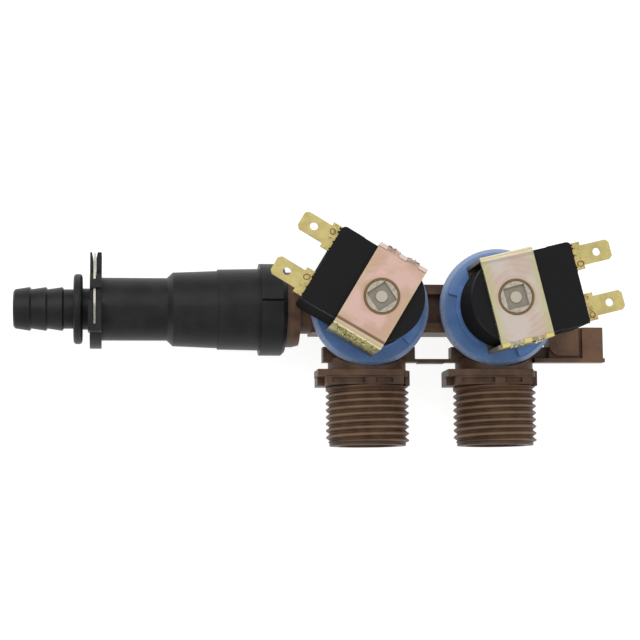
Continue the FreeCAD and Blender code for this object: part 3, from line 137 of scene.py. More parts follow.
class Side:
    """Where one valve's coil axis stands, which way its terminals point, and heights on it."""

    def __init__(self, name):
        seat = middle(f"flux_sleeve_{name}")
        self.x, self.y = seat.x, seat.y
        tabs = (middle(f"terminal_rear_{name}") + middle(f"terminal_front_{name}")) / 2
        self.turn = math.atan2(tabs.y - self.y, tabs.x - self.x)
        self.tab_z = tabs.z
        self.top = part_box(f"yoke_upper_{name}")[1].z
        self.bonnet_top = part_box(f"bonnet_{name}")[1].z - BOSS_RISE

    def matrix(self, z):
        """From the coil's own axes, at a height, to the frame."""
        return Matrix.Translation((self.x, self.y, z)) @ Matrix.Rotation(self.turn, 4, "Z")


VALVES = {name: Side(name) for name in SIDES}


# Shader building


class Val:
    """A shader socket that takes part in Python arithmetic."""

    def __init__(self, tree, socket):
        self.tree = tree
        self.socket = socket

    def _math(self, operation, first, second):
        made = self.tree.node("Math", {"operation": operation}, {0: first, 1: second})
        return made.out("Value")

    def __add__(self, other):
        return self._math("ADD", self, other)

    def __sub__(self, other):
        return self._math("SUBTRACT", self, other)

    def __mul__(self, other):
        return self._math("MULTIPLY", self, other)

    def __truediv__(self, other):
        return self._math("DIVIDE", self, other)

    def __gt__(self, other):
        return self._math("GREATER_THAN", self, other)

    def __lt__(self, other):
        return self._math("LESS_THAN", self, other)

    def __rsub__(self, other):
        return self._math("SUBTRACT", other, self)

    def __abs__(self):
        return self._math("ABSOLUTE", self, 0.0)

    def sine(self):
        """Sine of an angle in radians."""
        return self._math("SINE", self, 0.0)

    def root(self):
        """Square root."""
        return self._math("POWER", self, 0.5)

    def nearest(self):
        """The nearest whole number."""
        return self._math("ROUND", self, 0.0)

    def band(self, low, high):
        """0 below low, 1 above high, smooth between."""
        inputs = {"Value": self, "From Min": low, "From Max": high}
        return self.tree.node("MapRange", {"interpolation_type": "SMOOTHSTEP"}, inputs).out("Result")


class Made:
    """A node just made; out() gives one of its outputs."""

    def __init__(self, tree, node):
        self.tree = tree
        self.node = node

    def out(self, name):
        """One output, by name or number."""
        return Val(self.tree, self.node.outputs[name])


class Shade:
    """A material's node tree round one Principled shader."""

    def __init__(self, name):
        self.material = bpy.data.materials.new(name)
        self.material.use_nodes = True
        self.nodes = self.material.node_tree.nodes
        self.links = self.material.node_tree.links
        self.nodes.clear()
        self.surface = self.node("BsdfPrincipled", {}, {})
        output = self.node("OutputMaterial", {}, {})
        self.links.new(self.surface.node.outputs["BSDF"], output.node.inputs["Surface"])
        self.point = self.node("TexCoord", {}, {}).out("Object")

    def node(self, kind, settings, inputs):
        """Makes a node; its settings come first, then the values or links of its sockets."""
        made = self.nodes.new("ShaderNode" + kind)
        for key, value in settings.items():
            setattr(made, key, value)
        for key, value in inputs.items():
            self._feed(made.inputs[key], value)
        return Made(self, made)

    def _feed(self, socket, value):
        """Links a value into a socket, or sets a constant on it."""
        if isinstance(value, Val):
            self.links.new(value.socket, socket)
        elif socket.type == "RGBA":
            socket.default_value = (*tuple(value)[:3], 1.0)
        else:
            socket.default_value = value

    def set(self, **values):
        """Sets or links the Principled shader's sockets; an underscore stands for a space."""
        for key, value in values.items():
            self._feed(self.surface.node.inputs[key.replace("_", " ")], value)
        return self

    def noise(self, size, detail=3.0, rough=0.5, stretch=None):
        """Noise of a grain size in metres, centred on 0.5."""
        place = self.point
        if stretch:
            place = self.node("Mapping", {}, {"Vector": place, "Scale": stretch}).out("Vector")
        inputs = {"Vector": place, "Scale": 1.0 / size, "Detail": detail, "Roughness": rough}
        return self.node("TexNoise", {}, inputs).out("Fac")

    def mix(self, factor, first, second):
        """A colour between two colours."""
        return self.node("Mix", {"data_type": "RGBA"}, {0: factor, 6: first, 7: second}).out(2)

    def bump(self, height, distance):
        """A bump of a given height in metres."""
        return self.node("Bump", {}, {"Height": height, "Distance": distance}).out("Normal")

    def split(self):
        """Object coordinates in the frame's own axes, in metres."""
        parts = self.node("SeparateXYZ", {}, {"Vector": self.point})
        return parts.out("X"), parts.out("Y"), parts.out("Z")

    def local(self, side):
        """Object coordinates in a coil's own axes, in metres."""
        place = VALVES[side]
        inputs = {"Vector": self.point, "Location": (place.x, place.y, 0), "Rotation": (0, 0, place.turn)}
        moved = self.node("Mapping", {"vector_type": "TEXTURE"}, inputs).out("Vector")
        parts = self.node("SeparateXYZ", {}, {"Vector": moved})
        return parts.out("X"), parts.out("Y"), parts.out("Z")

    def rounded(self, radius, height, distance):
        """Softens edges to a radius in metres, with a bump on top."""
        inputs = {"Radius": radius, "Normal": self.bump(height, distance)}
        return self.node("Bevel", {"samples": 4}, inputs).out("Normal")


def tint(red, green, blue):
    """A display colour, 0 to 255, as linear light."""
    return tuple(
        c / 255 / 12.92 if c <= 10.3 else ((c / 255 + 0.055) / 1.055) ** 2.4 for c in (red, green, blue)
    )


def lighter(colour, by):
    """A colour made lighter, or darker where by is under 1."""
    return tuple(min(1.0, c * by) for c in colour)


def dress(material, *names):
    """Gives CAD nodes a material."""
    for name in names:
        node = NODES[name]
        node.data.materials.clear()
        node.data.materials.append(material)


def put(name, data):
    """A new object in the scene."""
    made = bpy.data.objects.new(name, data)
    bpy.context.scene.collection.objects.link(made)
    return made


def both(name):
    """A node's two names, left and right."""
    return [f"{name}_{side}" for side in SIDES]


def colour_prop(name, description, default):
    """A colour that the panel lists."""
    return bpy.props.FloatVectorProperty(
        name=name, description=description, default=default, subtype="COLOR", size=3, min=0.0, max=1.0
    )


def length_prop(name, description, default):
    """A length in metres that the panel lists."""
    return bpy.props.FloatProperty(
        name=name, description=description, default=default,
        subtype="DISTANCE", unit="LENGTH", min=0.0, precision=5,
    )


# How each yoke's plating is clouded and worn, and how strong its painted shade is; lengths in metres
PLATING = {
    "left": {
        "gold": 0.85,
        "rings": 0.12,
        "edge": 0.25,
        "edge_start": 0.0068,
        "groove": 0.85,
        "shadow": (0.013, 0.02),
        "pressed": tint(234, 214, 204),
        "between": tint(150, 132, 120),
    },
    "right": {
        "gold": 0.4,
        "rings": 0.28,
        "edge": 0.6,
        "edge_start": 0.0048,
        "groove": 0.2,
        "shadow": (0.002, 0.009),
        "pressed": tint(232, 216, 132),
        "between": tint(128, 124, 60),
    },
}
BURR_TINTS = {
    "left": (tint(104, 92, 80), tint(226, 216, 204)),
    "right": (tint(118, 116, 62), tint(226, 218, 176)),
    "fold": (tint(104, 104, 46), tint(222, 216, 146)),
}


# What the panel sets


class ValveFinish(bpy.types.PropertyGroup):
    """Colours of the valve's pieces."""

    body: colour_prop("Manifold", "Brown moulding", tint(100, 73, 54))
    body_dark: colour_prop("Manifold shade", "Darker streaks in the brown moulding", tint(76, 54, 39))
    # painted highlight on the thread crests
    thread: colour_prop("Thread", "Rubbed crests of the hose threads", tint(126, 99, 76))
    tube: colour_prop("Tube", "Black outlet tube and nozzle", tint(31, 31, 33))
    bonnet: colour_prop("Bonnet", "Blue bonnets", tint(101, 140, 198))
    # painted highlight along the bonnet rims, broken by scuffs
    bonnet_rim: colour_prop("Bonnet rim", "Rubbed edge of the blue bonnets", tint(158, 168, 190))
    # painted light on one side of the bonnets
    bonnet_lit: colour_prop("Bonnet light", "Faded side of the blue bonnets", tint(152, 176, 218))
    coil: colour_prop("Coil", "Black coil moulding", tint(25, 25, 27))
    plating_left: colour_prop("Left plating", "Plating of the left yoke, pink", tint(228, 192, 180))
    plating_right: colour_prop("Right plating", "Plating of the right yoke, beige", tint(216, 204, 194))
    plating_gold: colour_prop("Plating gold", "Gold clouds in the plating", tint(206, 173, 146))
    plating_green: colour_prop("Plating edge", "Green-gold of the cut and staked edges", tint(196, 196, 132))
    tab: colour_prop("Tabs", "Brass push-on tabs", tint(208, 192, 128))
    guide: colour_prop("Guide tube", "Natural nylon at the guide tube's end", tint(190, 181, 164))
    wire: colour_prop("Wire", "Enamelled wire", tint(146, 98, 62))


class ValveSizes(bpy.types.PropertyGroup):
    """Sizes of the fine detail."""

    grain: length_prop("Grain", "Grain of the moulded surfaces", 0.0006)
    edge: length_prop("Edge", "Softness of moulded edges", 0.00025)
    burr: length_prop("Burr", "Size of the burrs on the staked teeth", 0.00075)
    flash: length_prop("Flash", "Size of the moulding flash beside a tab", 0.0005)
    loop: length_prop("Loop", "Radius of the loop of wire at a tab's root", 0.0009)
    wire: length_prop("Wire", "Radius of that wire", 0.00013)
    halo: length_prop("Halo", "Width of the tarnished ring round a guide tube", 0.0016)


class ValveStage(bpy.types.PropertyGroup):
    """Floor, light and camera."""

    floor: colour_prop("Floor", "Studio floor", (0.35, 0.35, 0.35))
    floor_half: length_prop("Floor half", "Half the floor's width", 2.5)
    glow: bpy.props.FloatProperty(
        name="Glow", description="Light from under the floor", default=0.88, min=0.0
    )
    sky: bpy.props.FloatProperty(
        name="Sky", description="Brightness of the soft surround", default=0.62, min=0.0
    )
    lens: bpy.props.FloatProperty(
        name="Lens", description="Focal length", default=104.63, min=1.0, unit="CAMERA"
    )
    place: bpy.props.FloatVectorProperty(
        name="Camera", description="Place of the camera",
        default=(-0.1020, -0.0533, 0.5994), subtype="TRANSLATION",
    )
    turn: bpy.props.FloatVectorProperty(
        name="Camera turn", description="Turn of the camera about X, Y and Z",
        default=(math.radians(6.39), math.radians(-6.26), math.radians(-0.50)), subtype="EULER",
    )


def finish(name):
    """One of the valve's colours."""
    return tuple(getattr(bpy.context.scene.valve_finish, name))


def sizes():
    """Sizes of the fine detail."""
    return bpy.context.scene.valve_sizes


# Geometry Nodes


class Tree:
    """A Geometry Nodes tree with named inputs, ending in real geometry with a material."""

    def __init__(self, name, inputs):
        self.group = bpy.data.node_groups.new(name, "GeometryNodeTree")
        face = self.group.interface
        face.new_socket("Geometry", in_out="OUTPUT", socket_type="NodeSocketGeometry")
        face.new_socket("Geometry", in_out="INPUT", socket_type="NodeSocketGeometry")
        for label, kind in {**inputs, "Material": "Material"}.items():
            face.new_socket(label, in_out="INPUT", socket_type="NodeSocket" + kind)
        self.given = self.group.nodes.new("NodeGroupInput").outputs

    def node(self, kind, settings, inputs):
        """Makes a node and gives its first output."""
        made = self.group.nodes.new(kind)
        for key, value in settings.items():
            setattr(made, key, value)
        for key, value in inputs.items():
            if isinstance(value, bpy.types.NodeSocket):
                self.group.links.new(value, made.inputs[key])
            else:
                made.inputs[key].default_value = value
        return made.outputs[0]

    def math(self, operation, first, second):
        """A sum on two numbers."""
        return self.node("ShaderNodeMath", {"operation": operation}, {0: first, 1: second})

    def scaled(self, vector, by):
        """A vector made longer by a number."""
        return self.node("ShaderNodeVectorMath", {"operation": "SCALE"}, {0: vector, "Scale": by})

    def chance(self, low, high, seed):
        """A random vector for each point."""
        made = self.group.nodes.new("FunctionNodeRandomValue")
        made.data_type = "FLOAT_VECTOR"
        made.inputs["Min"].default_value = low
        made.inputs["Max"].default_value = high
        self.group.links.new(seed, made.inputs["Seed"])
        return made.outputs["Value"]

    def finish(self, geometry):
        """Realizes, smooths and dresses the geometry, and gives the group."""
        real = self.node("GeometryNodeRealizeInstances", {}, {"Geometry": geometry})
        smooth = self.node("GeometryNodeSetShadeSmooth", {}, {"Geometry": real})
        dressed = self.node(
            "GeometryNodeSetMaterial", {}, {"Geometry": smooth, "Material": self.given["Material"]}
        )
        output = self.group.nodes.new("NodeGroupOutput")
        self.group.links.new(dressed, output.inputs[0])
        return self.group


def lump_tree():
    """An uneven lump at each vertex; made once and shared."""
    name = "uneven_lumps"
    if name in bpy.data.node_groups:
        return bpy.data.node_groups[name]
    tree = Tree(name, {"Size": "Float", "Uneven": "Float", "Seed": "Int"})
    given = tree.given
    ball = tree.node("GeometryNodeMeshIcoSphere", {}, {"Radius": 1.0, "Subdivisions": 4})
    scale = tree.scaled(tree.chance((0.6, 0.5, 0.5), (1.3, 1.0, 0.9), given["Seed"]), given["Size"])
    turn = tree.chance((0.0, 0.0, 0.0), (FULL_TURN, FULL_TURN, FULL_TURN), given["Seed"])
    turned = tree.node("FunctionNodeEulerToRotation", {}, {"Euler": turn})
    placed = tree.node(
        "GeometryNodeInstanceOnPoints", {},
        {"Points": given["Geometry"], "Instance": ball, "Rotation": turned, "Scale": scale},
    )
    real = tree.node("GeometryNodeRealizeInstances", {}, {"Geometry": placed})
    place = tree.node("GeometryNodeInputPosition", {}, {})
    grain = tree.math("DIVIDE", 0.9, given["Size"])
    noise = tree.node("ShaderNodeTexNoise", {}, {"Vector": place, "Scale": grain, "Detail": 2.0})
    height = tree.math("MULTIPLY", tree.math("SUBTRACT", noise, 0.5), given["Uneven"])
    outward = tree.node("GeometryNodeInputNormal", {}, {})
    push = tree.scaled(outward, tree.math("MULTIPLY", height, given["Size"]))
    return tree.finish(tree.node("GeometryNodeSetPosition", {}, {"Geometry": real, "Offset": push}))


def loop_tree():
    """A loop of wire lying at each vertex; made once and shared."""
    name = "wire_loops"
    if name in bpy.data.node_groups:
        return bpy.data.node_groups[name]
    tree = Tree(name, {"Radius": "Float", "Wire": "Float", "Seed": "Int"})
    given = tree.given
    ring = tree.node("GeometryNodeCurvePrimitiveCircle", {}, {"Resolution": 28, "Radius": given["Radius"]})
    section = tree.node("GeometryNodeCurvePrimitiveCircle", {}, {"Resolution": 10, "Radius": given["Wire"]})
    tube = tree.node("GeometryNodeCurveToMesh", {}, {"Curve": ring, "Profile Curve": section})
    turn = tree.chance((-0.12, -0.12, 0.0), (0.12, 0.12, FULL_TURN), given["Seed"])
    turned = tree.node("FunctionNodeEulerToRotation", {}, {"Euler": turn})
    scale = tree.chance((0.85, 0.85, 1.0), (1.1, 1.1, 1.0), given["Seed"])
    return tree.finish(tree.node(
        "GeometryNodeInstanceOnPoints", {},
        {"Points": given["Geometry"], "Instance": tube, "Rotation": turned, "Scale": scale},
    ))


def grown(name, points, group, values, side):
    """Runs a tree on a list of points; the result is a plain mesh piece that rides a coil."""
    seeds = bpy.data.meshes.new(name + "_points")
    seeds.from_pydata([tuple(point) for point in points], [], [])
    made = put(name, seeds)
    modifier = made.modifiers.new("grow", "NODES")
    modifier.node_group = group
    for item in group.interface.items_tree:
        if item.in_out == "INPUT" and item.name in values:
            modifier[item.identifier] = values[item.name]
    seen = made.evaluated_get(bpy.context.evaluated_depsgraph_get())
    plain_mesh = bpy.data.meshes.new_from_object(seen)
    made.modifiers.remove(modifier)
    made.data = plain_mesh
    bpy.data.meshes.remove(seeds)
    if not plain_mesh.polygons:
        raise RuntimeError(f"{name} came out empty")
    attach(made, f"coil_{side}")


# Plastics


def plastic(name, rough, spot):
    """A dull moulded plastic still without its colour: fine grain and soft edges."""
    tree = Shade(name)
    slow = tree.noise(spot, detail=4.0, rough=0.6)
    fine = tree.noise(sizes().grain, detail=2.0)
    tree.set(
        Roughness=fine * 0.14 + slow * 0.1 + (rough - 0.12),
        Normal=tree.rounded(sizes().edge, fine + slow * 2.0, 0.00004),
    )
    return tree


def moulded(name, colour, shade, rough=0.5, spot=0.004):
    """A moulded plastic with slow streaks of shade."""
    tree = plastic(name, rough, spot)
    slow = tree.noise(spot, detail=4.0, rough=0.6)
    streak = tree.noise(spot * 0.7, detail=2.0, stretch=(1.0, 1.0, 0.25))
    tree.set(Base_Color=tree.mix((slow * 0.6 + streak * 0.4).band(0.36, 0.64), shade, colour))
    return tree


def brown_moulding():
    """The manifold: brown, with a painted highlight growing across the ear, and painted highlights on the
    thread crests with painted shade in the thread roots.
    """
    brown, dark = finish("body"), finish("body_dark")
    tree = plastic("brown_moulding", rough=0.5, spot=0.006)
    x, y, z = tree.split()
    from_axis = abs(x) - abs(VALVES["left"].x)
    # painted highlight on the thread crests, painted shade in their roots
    crest = (from_axis * from_axis + z * z).root().band(THREAD_ROOT, THREAD_CREST)
    cloud = tree.noise(0.006, detail=4.0).band(0.35, 0.65)
    # painted highlight growing across the ear
    ear = tree.mix(cloud, lighter(brown, 1.15), lighter(brown, 1.6))
    smooth = tree.mix(x.band(EAR_START, EAR_END), tree.mix(cloud, dark, brown), ear)
    cut = tree.mix(cloud * 0.3 + crest * 0.7, lighter(dark, 0.74), finish("thread"))
    threaded = 1.0 - y.band(THREAD_START - 0.001, THREAD_START)
    tree.set(Base_Color=tree.mix(threaded, smooth, cut), Specular_IOR_Level=0.35)
    return tree.material


def blue_moulding(side):
    """A bonnet: blue, with painted shade below its ring in the slots, painted light on one side and a
    painted highlight along its rim, broken by scuffs.
    """
    blue = finish("bonnet")
    tree = plastic(f"blue_moulding_{side}", rough=0.42, spot=0.007)
    x, y, z = tree.local(side)
    reach = x * x + y * y
    slow = tree.noise(0.007, detail=4.0)
    scuff = tree.noise(0.0012, detail=3.0, rough=0.7)
    colour = tree.mix(slow.band(0.35, 0.65), lighter(blue, 0.86), lighter(blue, 1.12))
    # painted shade on surfaces below the bonnet's ring, in its slots
    slot = (VALVES[side].bonnet_top - z).band(0.0002, 0.0007)
    colour = tree.mix(slot * 0.5, colour, lighter(blue, 0.6))
    # painted light on one side of the bonnet, growing along Y
    lit_side = tree.split()[1].band(LIT_START, LIT_END) * reach.band(BONNET_SLOPE**2, BONNET_EDGE**2)
    colour = tree.mix(lit_side * 0.6, colour, finish("bonnet_lit"))
    # painted highlight along the rim, broken by scuffs
    rim = reach.band(BONNET_RIM**2, BONNET_EDGE**2)
    scuffed_rim_highlight = rim * (scuff.band(0.35, 0.6) * 0.35 + 0.4)
    tree.set(Base_Color=tree.mix(scuffed_rim_highlight, colour, finish("bonnet_rim")), Specular_IOR_Level=0.35)
    return tree.material


def natural_nylon(side):
    """A guide tube: pale nylon, with painted shade in the square recess at its end."""
    tone = finish("guide")
    tree = Shade(f"natural_nylon_{side}")
    x, y, z = tree.local(side)
    cloud = tree.noise(0.0012, detail=3.0)
    mottle = cloud.band(0.3, 0.7)
    round_pip = (x * x + y * y).band(PIP_INSIDE**2, PIP_OUTSIDE**2)
    pale = tree.mix(round_pip, tone, tree.mix(mottle, lighter(tone, 0.7), lighter(tone, 1.05)))
    # painted shade in the square recess
    grey = tree.mix(mottle, lighter(tone, 0.5), lighter(tone, 0.56))
    top = VALVES[side].top
    tree.set(
        Base_Color=tree.mix(z.band(top - RECESS_FLOOR, top - RECESS_LIP), grey, pale),
        Roughness=cloud * 0.2 + 0.35,
        Normal=tree.rounded(0.0002, cloud, 0.00003),
        Specular_IOR_Level=0.3,
    )
    return tree.material


def coil_plastic(side):
    """A coil: black, with painted shade down its sides, which are also duller."""
    black = finish("coil")
    tree = Shade(f"coil_moulding_{side}")
    slow = tree.noise(0.005, detail=4.0, rough=0.6)
    fine = tree.noise(sizes().grain, detail=2.0)
    # mask for the painted shade down the coil's sides
    low = (VALVES[side].top - tree.local(side)[2]).band(0.0016, 0.005)
    face = tree.mix(tree.noise(0.005, detail=4.0), lighter(black, 0.9), lighter(black, 1.15))
    tree.set(
        Base_Color=tree.mix(low, face, lighter(black, 0.4)),
        Roughness=low * 0.4 + 0.55,
        Normal=tree.rounded(sizes().edge, fine + slow * 2.0, 0.00008),
        Specular_IOR_Level=0.12,
    )
    return tree.material


# Metals


def clip_steel():
    """Bright spring steel, drawn along its length."""
    tree = Shade("clip_steel")
    fine = tree.noise(0.0003, detail=2.0, stretch=(1.0, 0.1, 1.0))
    colour = tree.mix(fine, tint(196, 190, 172), tint(226, 224, 214))
    tree.set(Base_Color=colour, Metallic=1.0, Roughness=fine * 0.2 + 0.2)
    return tree.material


def turned_steel():
    """Plungers and their springs."""
    tree = Shade("turned_steel")
    fine = tree.noise(0.0004, detail=2.0, stretch=(1.0, 1.0, 6.0))
    colour = tree.mix(fine, tint(150, 148, 144), tint(188, 186, 182))
    tree.set(Base_Color=colour, Metallic=1.0, Roughness=fine * 0.2 + 0.25)
    return tree.material


def enamelled_copper():
    """A winding, with its turns as a bump."""
    tree = Shade("enamelled_copper")
    turns = (tree.split()[2] * (2 * math.pi / WINDING_PITCH)).sine()
    tree.set(
        Base_Color=tree.mix(tree.noise(0.001), tint(150, 78, 40), tint(190, 110, 60)),
        Metallic=1.0,
        Roughness=0.35,
        Normal=tree.bump(turns, 0.00008),
    )
    return tree.material


def enamelled_wire(side):
    """The loose wire at the tabs' roots."""
    tree = Shade(f"enamelled_wire_{side}")
    tone = finish("wire")
    colour = tree.mix(tree.noise(0.0006), lighter(tone, 0.7), lighter(tone, 1.2))
    tree.set(Base_Color=colour, Metallic=0.7, Roughness=0.4)
    return tree.material


def sleeve_metal(side):
    """The sleeve round a guide tube."""
    tree = Shade(f"sleeve_metal_{side}")
    colour = tree.mix(tree.noise(0.0004), tint(108, 82, 52), tint(160, 130, 90))
    tree.set(Base_Color=colour, Metallic=0.9, Roughness=0.4)
    return tree.material


def tab_brass(side):
    """Push-on tabs, stained at the root."""
    tree = Shade(f"tab_brass_{side}")
    brass = finish("tab")
    cloud = tree.noise(0.003, detail=4.0, rough=0.6)
    fine = tree.noise(0.00025, detail=2.0)
    stain = tree.noise(0.0011, detail=3.0, rough=0.7)
    root = 1.0 - tree.local(side)[0].band(STAIN_START, STAIN_END)
    clean = tree.mix(cloud.band(0.3, 0.7), lighter(brass, 0.86), lighter(brass, 1.08))
    tree.set(
        Base_Color=tree.mix(root * stain.band(0.5, 0.62) * 0.8, clean, tint(150, 118, 66)),
        Metallic=0.9,
        Roughness=fine * 0.15 + cloud * 0.1 + 0.24,
        Normal=tree.rounded(0.00012, fine + root * stain * 3.0, 0.00002),
    )
    return tree.material


def burr_metal(place):
    """Staked steel, shiny where it was pressed and green-gold between."""
    tree = Shade(f"burr_metal_{place}")
    spot = tree.noise(0.0009, detail=4.0, rough=0.7)
    fine = tree.noise(0.0003, detail=2.0)
    tree.set(
        Base_Color=tree.mix(spot.band(0.4, 0.6), *BURR_TINTS[place]),
        Metallic=0.7,
        Roughness=fine * 0.15 + 0.15,
        Normal=tree.bump(spot, 0.0001),
    )
    return tree.material


def plating(side):
    """Passivated zinc: a pale metal with slow pink, gold and green clouds."""
    tree = Shade(f"passivated_zinc_{side}")
    wear = PLATING[side]
    x, y, z = tree.local(side)
    x = x - YOKE_OFFSET
    depth = VALVES[side].top - z
    radius = (x * x + y * y).root()
    cloud = tree.noise(0.008, detail=3.0, rough=0.45)
    worn = tree.noise(0.0012, detail=4.0, rough=0.7)
    fine = tree.noise(0.0002, detail=2.0)

    # top face: gold clouds, rainbow rings, a green-gold edge and a tarnished ring round the guide tube
    clouded = cloud.band(0.4, 0.62)
    colour = tree.mix(clouded * wear["gold"], finish(f"plating_{side}"), finish("plating_gold"))
    rings = ((radius + cloud * 0.003) * RING_RATE).sine() * 0.5 + 0.5
    rings_show = rings * (cloud.band(0.35, 0.6) * 0.8 + 0.2) * wear["rings"]
    colour = tree.mix(rings_show, colour, tint(196, 164, 164))
    edge = abs(x).band(wear["edge_start"], YOKE_HALF + 0.00008)
    colour = tree.mix(edge * wear["edge"], colour, finish("plating_green"))
    halo = 1.0 - radius.band(GUIDE_RADIUS, GUIDE_RADIUS + sizes().halo)
    colour = tree.mix(halo * 0.6, colour, tint(178, 152, 112))

    # fold: painted shade in the bend and a painted highlight on its crest
    groove = y.band(YOKE_INSIDE - 0.0016, YOKE_INSIDE - 0.001)
    groove = groove * (1.0 - y.band(YOKE_INSIDE - 0.0006, YOKE_INSIDE - 0.0002))
    colour = tree.mix(groove * wear["groove"], colour, tint(112, 90, 68))
    crest = y.band(YOKE_INSIDE - 0.0005, YOKE_INSIDE)
    colour = tree.mix(crest * 0.7, colour, tint(238, 226, 184))

    # staked edge: pressed fingers, with dull steel between
    finger = abs(x - (x / FINGER_PITCH).nearest() * FINGER_PITCH) < FINGER_HALF
    staked = 1.0 - y.band(-YOKE_INSIDE - 0.0002, -YOKE_INSIDE + 0.0001)
    colour = tree.mix(staked * finger * 0.9, colour, wear["pressed"])
    colour = tree.mix(staked * (1.0 - finger) * worn.band(0.35, 0.6) * 0.7, colour, wear["between"])

    # side faces: plain gold, with green spots on the left fold and the right staked edge; painted shadow
    # lower down and painted shade on the cut edge faces
    side_face = depth.band(0.0009, 0.0015)
    spotted = y.band(0.009, 0.01) if side == "left" else 1.0 - depth.band(0.0015, 0.003)
    gold = tree.mix(clouded, tint(206, 188, 138), tint(220, 204, 168))
    spots = tree.mix(worn.band(0.4, 0.6), tint(118, 112, 58), tint(224, 214, 150))
    colour = tree.mix(side_face, colour, tree.mix(spotted, gold, spots))
    colour = tree.mix(depth.band(*wear["shadow"]) * 0.8, colour, tint(44, 42, 30))
    # painted shade on the yoke's cut edge faces
    cut_edge = (abs(x) > YOKE_HALF) * side_face
    colour = tree.mix(cut_edge * 0.95, colour, tint(46, 44, 30))
    tree.set(
        Base_Color=colour,
        Metallic=0.95 - side_face * 0.6,
        Roughness=fine * 0.1 + cloud * 0.08 + 0.3,
        Normal=tree.rounded(0.00015, fine * 0.3 + rings * 0.3 + side_face * spotted * worn * 16.0, 0.00003),
    )
    return tree.material


# Small pieces that ride a coil


def stake_burrs(side):
    """A row of burrs along each staked tooth of a yoke."""
    place = VALVES[side].matrix(VALVES[side].top)
    size = sizes().burr
    points = []
    for tooth in (-0.5, 0.5):
        for i in range(TOOTH_BURRS):
            along = YOKE_OFFSET + tooth * FINGER_PITCH + (i / (TOOTH_BURRS - 1) - 0.5) * TOOTH_SPAN
            down = size * (1.1 + 0.6 * (i % 2))
            points.append(place @ Vector((along, -YOKE_OUTSIDE - TOOTH_BURR_PROUD, -down)))
    values = {"Size": size, "Uneven": 0.9, "Seed": 3 + SIDES.index(side), "Material": burr_metal(side)}
    grown(f"stake_burrs_{side}", points, lump_tree(), values, side)


def fold_burrs():
    """Burrs strewn over the left yoke's folded arm, reaching lowest near its middle."""
    place = VALVES["left"].matrix(VALVES["left"].top)
    points = []
    for i in range(FOLD_BURRS):
        along = i * SPREAD_ALONG % 1.0
        down = i * SPREAD_DOWN % 1.0
        x = FOLD_BURR_START - FOLD_BURR_RUN * along
        z = -FOLD_BURR_TOP - FOLD_BURR_DROP * down * (1.0 - abs(along - 0.4))
        points.append(place @ Vector((x, YOKE_OUTSIDE - FOLD_BURR_SUNK, z)))
    values = {"Size": sizes().burr * 0.7, "Uneven": 0.9, "Seed": 9, "Material": burr_metal("fold")}
    grown("fold_burrs_left", points, lump_tree(), values, "left")


def moulding_flash(side):
    """Crumbs of black moulding above and below the tabs' roots."""
    place = VALVES[side].matrix(VALVES[side].tab_z)
    points = [
        place @ Vector((TERMINAL_FACE, tab + across * TAB_HALF, above * TAB_SHEET))
        for tab in (-TAB_MIDDLE, TAB_MIDDLE)
        for across in FLASH_ACROSS
        for above in FLASH_ABOVE
    ]
    black = finish("coil")
    crumb = moulded(f"flash_moulding_{side}", black, lighter(black, 0.8)).material
    values = {"Size": sizes().flash, "Uneven": 0.8, "Seed": 11, "Material": crumb}
    grown(f"moulding_flash_{side}", points, lump_tree(), values, side)


def wire_loops(side):
    """A loop of the winding's wire on each tab's root."""
    place = VALVES[side].matrix(VALVES[side].tab_z)
    lift = TAB_SHEET / 2 + sizes().wire * 1.5
    points = [
        place @ Vector((LOOP_MIDDLE, tab - TAB_HALF * 0.55, lift)) for tab in (-TAB_MIDDLE, TAB_MIDDLE)
    ]
    values = {"Radius": sizes().loop, "Wire": sizes().wire, "Seed": 5, "Material": enamelled_wire(side)}
    grown(f"wire_loops_{side}", points, loop_tree(), values, side)


# Stage


def floor_paint(stage):
    """Pale glowing floor that can be seen through from below."""
    tree = Shade("floor_paint")
    pale = tuple(stage.floor)
    tree.set(
        Alpha=1.0 - tree.node("NewGeometry", {}, {}).out("Backfacing"),
        Base_Color=tree.mix(tree.noise(0.5), lighter(pale, 0.99), pale),
        Roughness=0.9,
        Emission_Color=(1.0, 1.0, 1.0),
        Emission_Strength=stage.glow,
        Specular_IOR_Level=0.0,
    )
    return tree.material


def lay_floor(stage):
    """A wide floor under the valve."""
    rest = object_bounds()[0][2]
    mesh = bpy.data.meshes.new("studio_floor")
    half = stage.floor_half
    corners = [(-half, -half, rest), (half, -half, rest), (half, half, rest), (-half, half, rest)]
    mesh.from_pydata(corners, [], [(0, 1, 2, 3)])
    mesh.materials.append(floor_paint(stage))
    put("studio_floor", mesh)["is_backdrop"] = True


def light_surround(stage):
    """Even white light from all round."""
    world = bpy.data.worlds.new("soft_surround")
    world.use_nodes = True
    sky = world.node_tree.nodes["Background"]
    sky.inputs["Color"].default_value = (1.0, 1.0, 1.0, 1.0)
    sky.inputs["Strength"].default_value = stage.sky
    bpy.context.scene.world = world


def hang_lamp(name, place, size, power):
    """A square soft lamp that faces the valve."""
    lamp = bpy.data.lights.new(name, "AREA")
    lamp.shape = "SQUARE"
    lamp.size = size
    lamp.energy = power
    made = put(name, lamp)
    made.location = place
    aim = Vector(LAMP_AIM) - Vector(place)
    made.rotation_euler = aim.to_track_quat("-Z", "Y").to_euler()


def stand_camera(stage):
    """The camera, at the photograph's place and angle."""
    camera = bpy.data.cameras.new("camera")
    camera.lens = stage.lens
    camera.sensor_width = 36.0
    camera.clip_start = 0.01
    tilt, pan, roll = stage.turn
    turn = Matrix.Rotation(pan, 4, "Y") @ Matrix.Rotation(tilt, 4, "X") @ Matrix.Rotation(roll, 4, "Z")
    made = put("camera", camera)
    made.matrix_world = Matrix.Translation(stage.place) @ turn
    bpy.context.scene.camera = made


# Steps


